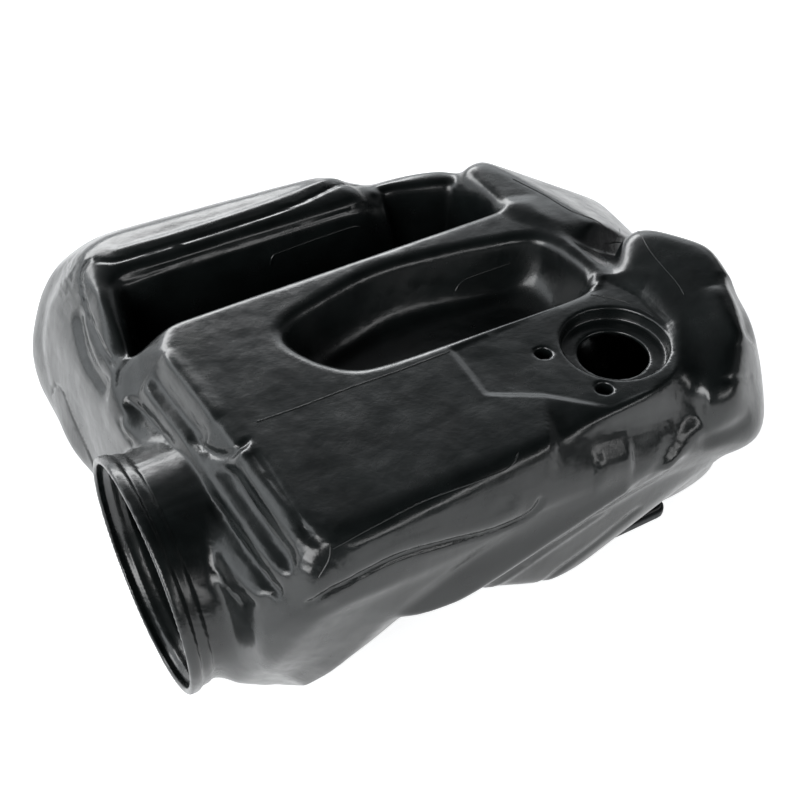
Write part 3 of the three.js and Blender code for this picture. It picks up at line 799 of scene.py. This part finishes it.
holes += [(lx, ly, 8.3, LUG_HEIGHT - 9, LUG_HEIGHT + 9) for lx, ly, along_y in LUGS]
for hole in holes:
    where, bar = upright(grid, *hole)
    shell[where] = smooth_max(shell[where], -bar, 1.0)
print("hollow shell with", len(holes), "openings")

# %% [markdown]
# ## From field to mesh
#
# OpenVDB draws the surface through the grid. A collapse pass then keeps the triangles where the
# skin bends, and every corner gets its normal from the field itself, so that reflections run
# smoothly over the large faces.


# %% Mesh from a field
def mesh_from_field(name, field, grid, triangles, material):
    """A mesh object of the zero surface, in the row frame, at no more than that many triangles."""
    volume = openvdb.FloatGrid(FAR)
    volume.copyFromArray(np.ascontiguousarray(field))
    points, tris, quads = volume.convertToPolygons(isovalue=0.0, adaptivity=0.0)
    points = np.asarray(points, float) * grid.step + grid.low
    halves = [quads[:, [0, 1, 2]], quads[:, [0, 2, 3]]]
    faces = np.concatenate(halves + ([tris] if len(tris) else []))
    a, b, c = (points[faces[:, i]] for i in range(3))
    if np.einsum("ij,ij->i", a, np.cross(b, c)).sum() < 0:
        faces = faces[:, ::-1]
    mesh = bpy.data.meshes.new(name)
    mesh.from_pydata(points, [], faces.tolist())
    piece = linked(name, mesh)
    if len(faces) > triangles:
        collapse = piece.modifiers.new("collapse", "DECIMATE")
        collapse.ratio = triangles / len(faces)
        thinned = final_mesh(piece)
        piece.modifiers.clear()
        piece.data = thinned
        thinned.name = name
    mesh = piece.data
    places = np.empty(len(mesh.vertices) * 3, np.float32)
    mesh.vertices.foreach_get("co", places)
    places = places.reshape(-1, 3).astype(float)
    normals = gradient(field, grid.low, grid.step, places, 0.6 * grid.step)
    mesh.vertices.foreach_set("co", place(places).astype(np.float32).ravel())
    mesh.polygons.foreach_set("use_smooth", np.ones(len(mesh.polygons), bool))
    mesh.normals_split_custom_set_from_vertices(normals.tolist())
    mesh.materials.clear()
    mesh.materials.append(material)
    mesh.update()
    print(name, "from", len(faces), "to", len(mesh.polygons), "triangles")
    return piece


SHELL_TRIANGLES = 185000
shell_piece = mesh_from_field("shell_skin", shell, grid, SHELL_TRIANGLES, blow_moulded)
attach(shell_piece, "root")
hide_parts("housing_shell")

# %% [markdown]
# ## Geometry trees for what repeats
#
# Three small trees do all the repeating work: one sweeps a round section along every line of a
# curve, one turns copies of a piece about an axis, and one sets a copy on each given point. Each
# ends by making its copies real and giving them their material, and the result is kept as a plain
# mesh.


# %% Geometry Nodes trees
def new_tree(name, **inputs):
    """An empty geometry tree, its input sockets, and their identifiers by label."""
    tree = bpy.data.node_groups.new(name, "GeometryNodeTree")
    tree.interface.new_socket("Geometry", in_out="OUTPUT", socket_type="NodeSocketGeometry")
    labels = {}
    for label, kind in {"Geometry": "Geometry", **inputs, "Material": "Material"}.items():
        socket = tree.interface.new_socket(label, in_out="INPUT", socket_type="NodeSocket" + kind)
        labels[label] = socket.identifier
    return tree, add(tree, "NodeGroupInput").outputs, labels


def close_tree(tree, last, given):
    """Realize Instances, shade smooth, Set Material and output."""
    real = add(tree, "GeometryNodeRealizeInstances", {0: last.outputs[0]})
    smooth = add(tree, "GeometryNodeSetShadeSmooth", {0: real.outputs[0]})
    painted = add(tree, "GeometryNodeSetMaterial", {
        "Geometry": smooth.outputs[0], "Material": given["Material"]})
    add(tree, "NodeGroupOutput", {0: painted.outputs[0]})
    return tree


def sweep_tree():
    """A round bead along every spline."""
    tree, given, labels = new_tree("sweep", Radius="Float", Spacing="Float")
    spaced = add(tree, "GeometryNodeResampleCurve", {
        "Curve": given["Geometry"], "Length": given["Spacing"]}, mode="LENGTH")
    section = add(tree, "GeometryNodeCurvePrimitiveCircle", {
        "Resolution": 8, "Radius": given["Radius"]})
    tube = add(tree, "GeometryNodeCurveToMesh", {
        "Curve": spaced.outputs[0], "Profile Curve": section.outputs[0], "Fill Caps": True})
    return close_tree(tree, tube, given), labels


def wheel_tree():
    """Copies of a piece round the X axis, in rows along it, each row half a step further."""
    tree, given, labels = new_tree("wheel", Piece="Object", Count="Int", Rows="Int", Pitch="Float")
    line = add(tree, "GeometryNodeMeshLine", {
        "Count": maths(tree, "MULTIPLY", given["Count"], given["Rows"]), "Offset": (0, 0, 0)})
    index = add(tree, "GeometryNodeInputIndex").outputs[0]
    row = maths(tree, "FLOOR", maths(tree, "DIVIDE", index, given["Count"]))
    shift = add(tree, "ShaderNodeCombineXYZ", {"X": maths(tree, "MULTIPLY", row, given["Pitch"])})
    placed = add(tree, "GeometryNodeSetPosition", {
        "Geometry": line.outputs[0], "Offset": shift.outputs[0]})
    step = maths(tree, "ADD", index, maths(tree, "MULTIPLY", row, 0.5))
    share = maths(tree, "DIVIDE", step, given["Count"])
    angle = add(tree, "ShaderNodeCombineXYZ", {"X": maths(tree, "MULTIPLY", share, 2 * math.pi)})
    source = add(tree, "GeometryNodeObjectInfo", {"Object": given["Piece"]})
    copies = add(tree, "GeometryNodeInstanceOnPoints", {
        "Points": placed.outputs[0], "Instance": source.outputs["Geometry"],
        "Rotation": angle.outputs[0]})
    return close_tree(tree, copies, given), labels


def points_tree():
    """A copy of a piece on every vertex."""
    tree, given, labels = new_tree("points", Piece="Object")
    source = add(tree, "GeometryNodeObjectInfo", {"Object": given["Piece"]})
    copies = add(tree, "GeometryNodeInstanceOnPoints", {
        "Points": given["Geometry"], "Instance": source.outputs["Geometry"]})
    return close_tree(tree, copies, given), labels


SWEEP, WHEEL, POINTS = sweep_tree(), wheel_tree(), points_tree()
print("trees:", SWEEP[0].name, WHEEL[0].name, POINTS[0].name)

# %% [markdown]
# ## Making and keeping a piece
#
# A piece is modelled in design millimetres, either from its own points, as a turned ring, or grown
# by one of the trees. It is then moved into the row frame, given its finish, tied to the body it
# moves with, and the nodes of the frame that it stands for are hidden.


# %% Piece helpers
def mesh_object(name, points, faces):
    """An object from points in millimetres."""
    mesh = bpy.data.meshes.new(name)
    mesh.from_pydata((0.001 * np.array(points, float)).tolist(), [], [tuple(f) for f in faces])
    mesh.update()
    return linked(name, mesh)


def grow(name, base, kit, **values):
    """Runs a tree on a base object; the base and any piece it copies are used up."""
    tree, labels = kit
    modifier = base.modifiers.new("grow", "NODES")
    modifier.node_group = tree
    for label, value in values.items():
        modifier[labels[label]] = value
    base.update_tag()
    bpy.context.view_layer.update()
    mesh = final_mesh(base)
    mesh.name = name
    for used in [base] + [v for v in values.values() if isinstance(v, bpy.types.Object)]:
        bpy.data.objects.remove(used)
    return linked(name, mesh)


def round_axis(name, piece, slot, count, rows=1, pitch=0.0):
    """Copies of a piece round the X axis, in rows along it."""
    return grow(name, mesh_object(name + "_base", [(0, 0, 0)], []), WHEEL, Piece=piece,
                Count=count, Rows=rows, Pitch=0.001 * pitch, Material=finishes[slot])


def on_points(name, piece, slot, points):
    """Copies of a piece on design points."""
    return grow(name, mesh_object(name + "_places", points, []), POINTS, Piece=piece,
                Material=finishes[slot])


def shade(piece, sharp):
    """Smooth shading, except over edges sharper than an angle in degrees."""
    piece.data.polygons.foreach_set("use_smooth", [True] * len(piece.data.polygons))
    piece.data.set_sharp_from_angle(angle=math.radians(sharp))
    return piece


def soften(profile, radius, steps=3):
    """Rounds every corner of a closed outline."""
    profile = np.array(profile, float)
    result = []
    for before, corner, after in zip(np.roll(profile, 1, 0), profile, np.roll(profile, -1, 0)):
        a, b = before - corner, after - corner
        reach = min(radius, 0.45 * np.linalg.norm(a), 0.45 * np.linalg.norm(b))
        p, q = corner + a / np.linalg.norm(a) * reach, corner + b / np.linalg.norm(b) * reach
        for t in np.linspace(0, 1, steps + 1):
            result.append((1 - t) ** 2 * p + 2 * t * (1 - t) * corner + t * t * q)
    return np.array(result)


def loop_faces(loops, count, closed=True):
    """Quads between neighbouring loops of points."""
    faces = []
    for k in range(loops if closed else loops - 1):
        a, b = k * count, (k + 1) % loops * count
        faces += [(a + i, b + i, b + (i + 1) % count, a + (i + 1) % count) for i in range(count)]
    return faces


def turned(name, profile, segments=96, axis="Z", radius=0.4, centre=(0, 0, 0)):
    """A turned ring from a closed outline of (radius, height), its corners rounded."""
    outline = soften(profile, radius)
    after = np.roll(outline, -1, 0)
    if np.sum(outline[:, 0] * after[:, 1] - after[:, 0] * outline[:, 1]) < 0:
        outline = outline[::-1]
    angles = np.arange(segments) / segments * 2 * math.pi
    points = np.array([(r * math.cos(a), r * math.sin(a), h) for a in angles for r, h in outline])
    if axis == "X":
        points = points[:, [2, 0, 1]]
    return shade(mesh_object(name, points + centre, loop_faces(segments, len(outline))), 35)


def seat(piece, x=0.0, y=0.0, z=0.0):
    """Moves a piece's mesh by millimetres and into the row frame."""
    piece.data.transform(Matrix.Translation(0.001 * np.array((x, y, z))))
    piece.data.transform(Matrix.Translation(NECK))
    return piece


def keep(piece, slot, *nodes, body="root"):
    """Gives a piece its finish and body, and hides the nodes it stands for."""
    piece.data.materials.clear()
    piece.data.materials.append(finishes[slot])
    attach(piece, body)
    if nodes:
        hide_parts(*nodes)
    print(piece.name, len(piece.data.polygons), "faces")


def poly_curve(name, lines, cyclic=False, flat=False):
    """A curve object from lines of points in metres."""
    curve = bpy.data.curves.new(name, "CURVE")
    curve.dimensions = "2D" if flat else "3D"
    for line in lines:
        spline = curve.splines.new("POLY")
        spline.points.add(len(line) - 1)
        spline.use_cyclic_u = cyclic
        for target, (px, py, pz) in zip(spline.points, line):
            target.co = (px, py, pz, 1)
    return linked(name, curve)


print("piece helpers ready")

# %% [markdown]
# ## Parting lines and small raised marks
#
# The two mould halves leave a hair of flash along the front, the top and the rear, and the mould
# has a few thin raised ribs inside the trough and the pocket. They lie on the skin: their points
# are dropped onto the field first, then a half-buried bead is swept along them.


# %% Flash and ribs
def beads(name, radius, lines):
    paths = [place(settle(grid, outside, smooth_path(line))) for line in lines]
    piece = grow(name, poly_curve(name + "_paths", paths), SWEEP, Radius=0.001 * radius,
                 Spacing=0.0015, Material=blow_moulded)
    keep(piece, "housing_plastic")


beads("parting_flash", 0.34, [
    [(64, -86, 74), (87, -86, 77), (110, -85, 78), (137, -86, 77), (153, -86, 77), (160, -82, 79)],
    [(63, -86, 75), (61, -88, 70), (55, -90, 64)],
    [(66, -7, 80), (90, -8, 80), (114, -8, 80), (140, -9, 80), (168, -9, 80)],
    [(276, 100, 80), (283, 78, 80), (288, 56, 80), (300, 42, 73)],
    [(318, 51, 62), (306, 26, 80), (294, 0, 90), (291, -27, 88), (289, -36, 87)],
    [(254, -6, 79), (262, -14, 79), (268, -24, 79), (271, -36, 80)],
])
beads("raised_ribs", 0.7, [
    [(134, 126, 55), (136, 126, 60), (141, 126, 61), (163, 126, 62), (187, 126, 62), (191, 126, 59)],
    [(211, 55, 56), (216, 55, 61), (229, 53, 63), (243, 51, 65)],
])

# %% [markdown]
# ## Clean-air outlet
#
# A glass-filled nylon elbow: the spigot inside takes the filter's boot, the bend turns down through
# the floor, and the stub below takes the hose behind a retaining bead. Its flange is drawn up
# against the floor by four screws, and small gussets stiffen it. The same field tools mould it,
# so every junction has its fillet.

# %% Outlet elbow
FLANGE_TOP = FLOOR - 2.6
FLANGE_LOW = FLANGE_TOP - 5
BEND = OUTLET_RADIUS + 2
SPIGOT_END, STUB_END = 190, -64
elbow_grid = Grid((184, -73, -70), (292, 46, 36), 1.0)
where, x, y, z = elbow_grid.window((184, -73, -70), (292, 46, 36))
ring_x, ring_z = x - (OUTLET_X - BEND), z + BEND
in_bend = np.sqrt((np.sqrt(ring_x ** 2 + ring_z ** 2) - BEND) ** 2 + (y - FILTER_Y) ** 2)
in_spigot = np.sqrt(z ** 2 + (y - FILTER_Y) ** 2) + 0 * x
in_stub = np.sqrt((x - OUTLET_X) ** 2 + (y - FILTER_Y) ** 2) + 0 * z
route = np.where(ring_x < 0, in_spigot, np.where(ring_z < 0, in_stub, in_bend)).astype(np.float32)
tube = np.maximum(route - OUTLET_RADIUS, np.maximum(SPIGOT_END - x, STUB_END - z))
hose_bead = np.maximum(np.sqrt((in_stub - 30.5) ** 2 + (z + 62) ** 2) - 1.5, STUB_END - z)
corner_x = np.maximum(np.abs(x - 246) - 27, 0)
corner_y = np.maximum(np.abs(y + 13.5) - 43.5, 0)
flange = smooth_max(np.sqrt(corner_x ** 2 + corner_y ** 2) - 8 + 0 * z,
                    np.abs(z - (FLANGE_TOP + FLANGE_LOW) / 2) - 2.5 + 0 * x + 0 * y, 1.2)
gussets = elbow_grid.empty()
for i in range(8):
    turn = math.radians(22.5 + 45 * i)
    dx, dy = math.cos(turn), math.sin(turn)
    out = (x - OUTLET_X) * dx + (y - FILTER_Y) * dy
    off = np.abs(-(x - OUTLET_X) * dy + (y - FILTER_Y) * dx) - 1.0
    slope = (out - 28) * 0.8 + (FLANGE_LOW - z) * 0.6 - 4.6
    rib = np.maximum(np.maximum(off, out - 33), np.maximum(slope, 26 - out))
    gussets = np.minimum(gussets, np.maximum(rib, z - FLANGE_TOP + 1))
elbow = smooth_min(smooth_min(tube, flange, 4).astype(np.float32), hose_bead.astype(np.float32), 1.5)
elbow = smooth_min(elbow, gussets.astype(np.float32), 1.5)
elbow = smooth_max(elbow, -(route - (OUTLET_RADIUS - 3)).astype(np.float32), 1.0)
elbow = np.maximum(elbow, SPIGOT_END - x)
for px, py in OUTLET_SCREWS:
    hole = np.sqrt((x - px) ** 2 + (y - py) ** 2) - 2.8
    elbow = smooth_max(elbow, -(hole + 0 * z).astype(np.float32), 0.6)
elbow = elbow.astype(np.float32)
keep(mesh_from_field("outlet_elbow_moulding", elbow, elbow_grid, 60000, glass_filled),
     "outlet_plastic", "outlet_elbow")

# %% [markdown]
# ## Gasket and screws
#
# The gasket is a die-cut rubber sheet: one outline with a hole for the elbow and one for each
# screw. The screws have pan heads with a cross recess and a rolled thread; one is modelled and a
# tree sets it in the four holes.


# %% Outlet gasket and screws
def circle(cx, cy, radius, count):
    turns = 2 * math.pi * np.arange(count) / count
    return [(cx + radius * math.cos(a), cy + radius * math.sin(a)) for a in turns]


corners = [(cx + 6 * math.cos(a), cy + 6 * math.sin(a))
           for cx, cy, first in ((273, 30, 0), (219, 30, 90), (219, -57, 180), (273, -57, 270))
           for a in np.radians(np.linspace(first, first + 90, 9))]
outlines = [corners, circle(OUTLET_X, FILTER_Y, 31.4, 96)]
outlines += [circle(px, py, 3.4, 24) for px, py in OUTLET_SCREWS]
gasket_outline = poly_curve(
    "gasket_outline", [[(0.001 * px, 0.001 * py, 0) for px, py in outline] for outline in outlines],
    cyclic=True, flat=True)
gasket_outline.data.fill_mode = "BOTH"
gasket_outline.data.extrude = 0.0007
gasket_outline.data.bevel_depth = 0.0003
gasket_outline.data.bevel_resolution = 2
gasket_mesh = final_mesh(gasket_outline)
bpy.data.objects.remove(gasket_outline)
gasket = linked("outlet_gasket_sheet", gasket_mesh)
keep(seat(gasket, z=FLOOR - 1.3), "rubber", "outlet_gasket")


def cross_screw():
    """A pan-headed screw with a cross recess, its shank with a rolled thread upwards."""
    head = FLANGE_LOW - 0.3
    thread = [(2.0 + (0.5 if i % 2 else 0), head + 1 + 0.75 * i) for i in range(22)]
    body = turned("screw", [
        (0.02, head - 4.1), (2.4, head - 4.1), (4.2, head - 3.2), (5.0, head - 1.4), (5.0, head),
        (2.4, head)] + thread + [(0.9, FLOOR + 12), (0.02, FLOOR + 12)], 40, radius=0.25)
    points, faces = [], []
    for width, length in ((0.6, 2.7), (2.7, 0.6)):
        base = len(points)
        for height, taper in ((head - 5.0, 1.0), (head - 2.2, 0.75)):
            points += [(sx * width * taper, sy * length * taper, height)
                       for sx, sy in ((-1, -1), (1, -1), (1, 1), (-1, 1))]
        faces += [tuple(base + i for i in f) for f in BOX_FACES]
    cut = body.modifiers.new("cross", "BOOLEAN")
    cut.object = mesh_object("cross", points, faces)
    cut.solver = "EXACT"
    cut.use_self = True
    mesh = final_mesh(body)
    bpy.data.objects.remove(cut.object)
    bpy.data.objects.remove(body)
    return linked("screw", mesh)


BOX_FACES = ((3, 2, 1, 0), (4, 5, 6, 7), (0, 1, 5, 4), (1, 2, 6, 5), (2, 3, 7, 6), (3, 0, 4, 7))
screws = on_points("outlet_screws", cross_screw(), "zinc_steel",
                   [(px, py, 0) for px, py in OUTLET_SCREWS])
keep(seat(screws), "zinc_steel", *["outlet_screw_%d" % (i + 1) for i in range(4)])

# %% [markdown]
# ## Filter cartridge
#
# Resin-treated paper is folded into some seventy pleats and closed on a perforated steel core, with
# a moulded rubber cap at each end. The open cap carries on as the boot that slides over the
# outlet's spigot. One pleat and one hole cell are modelled, and trees repeat them round the axis.

# %% Pleats
CORE_RADIUS, FILTER_START, FILTER_END = 24.0, 80.0, 178.0
PLEATS = 72
half = math.pi / PLEATS
fold = [(radius * math.cos(half * turn), radius * math.sin(half * turn)) for radius, turn in (
    (24.5, -1), (25.2, -0.8), (36.6, -0.34), (37.7, -0.16), (38.0, 0),
    (37.7, 0.16), (36.6, 0.34), (25.2, 0.8), (24.5, 1))]
foot_out, foot_side = 24.35 * math.cos(half), 24.35 * math.sin(half)
inner_fold = [(foot_out, -foot_side)] + [(0.985 * a - 0.55, b * 0.55) for a, b in fold[1:-1]]
inner_fold += [(foot_out, foot_side)]
section = fold + inner_fold[::-1]
count = len(section)
pleat_points = [(px, a, b) for px in (FILTER_START + 0.4, FILTER_END - 0.4) for a, b in section]
pleat_faces = [(i, (i + 1) % count, count + (i + 1) % count, count + i) for i in range(count)]
for side, order in ((0, -1), (count, 1)):
    for i in range(len(fold) - 1):
        quad = (side + i, side + i + 1, side + count - 2 - i, side + count - 1 - i)
        pleat_faces.append(quad[::order])
pleats = round_axis("pleated_paper", mesh_object("pleat", pleat_points, pleat_faces),
                    "filter_paper", PLEATS)
keep(seat(pleats, y=FILTER_Y), "filter_paper", "filter_media")

# %% [markdown]
# The core is a tube rolled from perforated sheet. Cutting 672 holes with booleans would be slow and
# fragile. One cell of the sheet is modelled instead, a curved square 4.7 mm across with a round
# hole, and the wheel tree sets it in staggered rows.

# %% Perforated core
CELLS, ROWS, HOLE = 32, 21, 0.31
cell_pitch = (FILTER_END - FILTER_START - 1.0) / ROWS
rim, hole = [], []
for i in range(16):
    turn = 2 * math.pi * (i + 0.5) / 16
    across, up = math.cos(turn), math.sin(turn)
    edge = 0.5 / max(abs(across), abs(up))
    rim.append((across * edge, up * edge))
    hole.append((across * HOLE, up * HOLE))
cell_points = []
for radius in (CORE_RADIUS - 0.9, CORE_RADIUS - 0.1):
    for across, up in rim + hole:
        angle = up * 2 * math.pi / CELLS
        cell_points.append((FILTER_START + 0.5 + cell_pitch * (across + 0.5),
                            radius * math.cos(angle), radius * math.sin(angle)))
cell_faces = []
for i in range(16):
    j = (i + 1) % 16
    cell_faces += [(32 + i, 32 + j, 48 + j, 48 + i), (j, i, 16 + i, 16 + j),
                   (16 + i, 48 + i, 48 + j, 16 + j)]
core = round_axis("perforated_core", mesh_object("cell", cell_points, cell_faces), "zinc_steel",
                  CELLS, ROWS, cell_pitch)
keep(seat(core, y=FILTER_Y), "zinc_steel", "filter_core")

# %% [markdown]
# The caps are poured in round moulds, so an outline turned about the axis gives their true shape,
# with the boot's two gripping ribs in the same outline.

# %% Rubber caps
closed_cap = turned("rubber_cap_closed", [
    (0.02, 74), (20, 74), (21, 75.2), (26, 75.2), (27, 74), (38, 74), (40, 76), (40, 80), (0.02, 80)],
    axis="X", radius=0.7)
keep(seat(closed_cap, y=FILTER_Y), "rubber", "filter_cap_closed")
open_cap = turned("rubber_cap_open", [
    (23, 178), (40, 178), (40, 182), (38, 184), (34, 186), (34, 192.4), (35.2, 192.9),
    (35.2, 193.6), (34, 193.9), (34, 204.6), (35.2, 205.1), (35.2, 206), (34, 206.6), (34, 209),
    (30.3, 209), (30.3, 189.7), (23, 189.7)], axis="X", radius=0.5)
keep(seat(open_cap, y=FILTER_Y), "rubber", "filter_cap_open")

# %% [markdown]
# ## Worm-drive clamp
#
# A stainless strip is pressed with slanted threads, and a plated worm in a folded housing draws it
# tight round the boot. The threads repeat round the band, and the worm's thread is a swept helix.

# %% Band and its threads
BAND_X, BAND_INNER, BAND_OUTER = 199.0, 34.3, 35.3
band = turned("clamp_strip", [
    (BAND_INNER, 194), (BAND_OUTER, 194), (BAND_OUTER, 204), (BAND_INNER, 204)],
    axis="X", segments=144, radius=0.3)
keep(seat(band, y=FILTER_Y), "stainless_steel", "clamp_band")
THREAD_SLANT = 0.9 / 3.2
foot, crest = BAND_OUTER - 0.1, BAND_OUTER + 0.28
thread_points = [(px, pr, pz + THREAD_SLANT * (px - BAND_X)) for pr, px, pz in (
    (foot, 195.8, -0.55), (foot, 202.2, -0.55), (foot, 202.2, 0.55), (foot, 195.8, 0.55),
    (crest, 196.1, -0.25), (crest, 201.9, -0.25), (crest, 201.9, 0.25), (crest, 196.1, 0.25))]
threads = round_axis("clamp_threads", mesh_object("thread", thread_points, BOX_FACES),
                     "stainless_steel", 96)
keep(seat(threads, y=FILTER_Y), "stainless_steel")

# %% [markdown]
# The clamp's housing is folded from strip over the worm: an arch with two feet, open at both ends.
# It has one section along its whole length, so a lofted outline makes it, drawn in a little at the
# ends where the press rounds the edge.

# %% Clamp housing
WORM_REACH = BAND_OUTER + 0.3 + 4.8


def arc(radius, first, last):
    return [(radius * math.cos(a), radius * math.sin(a))
            for a in np.radians(np.linspace(first, last, 19))]


outline = [(-5.9, 4.65), (-5.9, 3.6), (-4.2, 3.4), (-4.2, 0)] + arc(4.2, 180, 360)
outline += [(4.2, 0), (4.2, 3.4), (5.9, 3.6), (5.9, 4.65), (3.4, 4.65), (3.35, 0)]
outline += arc(3.35, 360, 180) + [(-3.35, 0), (-3.4, 4.65)]
count = len(outline)
levels = [(-6.9, 0.985), (-6.6, 1.0), (6.6, 1.0), (6.9, 0.985)]
saddle_points = [(BAND_X + a * k, -WORM_REACH + b * k, h) for h, k in levels for a, b in outline]
saddle_faces = [(a, d, c, b) for a, b, c, d in loop_faces(len(levels), count, closed=False)]
saddle_faces += [tuple(range(count))[::-1], tuple(range(3 * count, 4 * count))]
saddle = shade(mesh_object("clamp_saddle", saddle_points, saddle_faces), 40)
keep(seat(saddle, y=FILTER_Y), "stainless_steel", "clamp_housing")

# %% [markdown]
# The worm is a plated core with a rolled thread and a dimpled hexagon head. Core and head are
# turned, and a bead swept along a helix is the thread. All three turn with the clamp screw's body.

# %% Worm screw
HELIX_RADIUS, HELIX_PITCH, HELIX_TURNS = 2.55, 2.0, 7.5
worm = turned("worm_core", [
    (0.02, -10), (2.2, -10), (2.5, -9.4), (2.5, 7.3), (0.02, 7.3)], 32, radius=0.3)
hexagon = turned("worm_head", [
    (0.02, 7.3), (3.7, 7.3), (4.4, 7.9), (4.4, 11.5), (3.9, 12.0), (1.2, 12.0), (1.2, 10.6),
    (0.02, 10.6)], 6, radius=0.25)
helix = [(0.001 * HELIX_RADIUS * math.cos(t), 0.001 * HELIX_RADIUS * math.sin(t),
          0.001 * (-8.6 + HELIX_PITCH * t / (2 * math.pi)))
         for t in np.linspace(0, 2 * math.pi * HELIX_TURNS, 260)]
worm_thread = grow("worm_thread", poly_curve("helix", [helix]), SWEEP, Radius=0.00042,
                   Spacing=0.0004, Material=zinc_plated)
for piece, nodes in ((worm, ["clamp_screw"]), (hexagon, []), (worm_thread, [])):
    keep(seat(piece, BAND_X, FILTER_Y - WORM_REACH), "zinc_steel", *nodes, body="clamp_screw")

# %% [markdown]
# ## Drain valve and mountings
#
# A rubber duckbill lets water out of the lobe and no dust in: its round collar snaps into the
# floor and its bill flattens to a slit. Three rubber grommets sit in the lugs, each with a rolled
# steel sleeve that stops the bolt from crushing it.

# %% Duckbill
collar = turned("drain_collar", [
    (3.5, FLOOR + 5.3), (9, FLOOR + 5.3), (9, FLOOR + 3.3), (5.7, FLOOR + 3.3), (5.7, FLOOR - 0.3),
    (9, FLOOR - 0.3), (9, FLOOR - 2.3), (6.8, FLOOR - 3.3), (3.5, FLOOR - 3.3)], 72, radius=0.45,
    centre=(DRAIN_X, DRAIN_Y, 0))
keep(seat(collar), "rubber", "drain_valve")
# Each loop: its height under the floor, half its width along the slit and half its thickness.
BILL = [(-3.0, 5.8, 5.6), (-5.0, 5.9, 5.2), (-9.0, 6.8, 3.9), (-13.0, 7.6, 2.6), (-16.5, 8.0, 1.5),
        (-17.6, 8.0, 1.2), (-18.0, 7.7, 0.9), (-17.9, 7.2, 0.25), (-13.0, 6.4, 1.1),
        (-9.0, 5.4, 2.2), (-5.0, 4.3, 3.4), (-3.0, 3.6, 3.6)]
around = 2 * math.pi * np.arange(48) / 48
bill_points = [(DRAIN_X + thick * math.cos(a), DRAIN_Y + wide * math.sin(a), FLOOR + height)
               for height, wide, thick in BILL for a in around]
bill_faces = [quad[1:] + quad[:1] for quad in loop_faces(len(BILL), len(around))]
keep(seat(shade(mesh_object("drain_bill", bill_points, bill_faces), 50)), "rubber")

# %% [markdown]
# Each grommet is a rubber spool whose waist grips the lug, and each sleeve a short rolled tube. Both
# are round, so one of each is turned and the points tree sets it in the three lugs.

# %% Grommets and sleeves
lug_points = [(lx, ly, LUG_HEIGHT) for lx, ly, along_y in LUGS]
grommet = turned("grommet", [
    (5.3, -5.8), (10.4, -5.8), (11.5, -4.6), (11.2, -2.8), (8.0, -2.8), (8.0, 2.8), (11.2, 2.8),
    (11.5, 4.6), (10.4, 5.8), (5.3, 5.8)], 64, radius=0.8)
sleeve = turned("sleeve", [(3.3, -6.5), (5.0, -6.5), (5.0, 6.5), (3.3, 6.5)], 64, radius=0.4)
for name, piece, slot, node in (("rubber_grommets", grommet, "rubber", "mount_grommet_%d"),
                                ("steel_sleeves", sleeve, "zinc_steel", "mount_sleeve_%d")):
    keep(seat(on_points(name, piece, slot, lug_points)), slot, *[node % (i + 1) for i in range(3)])
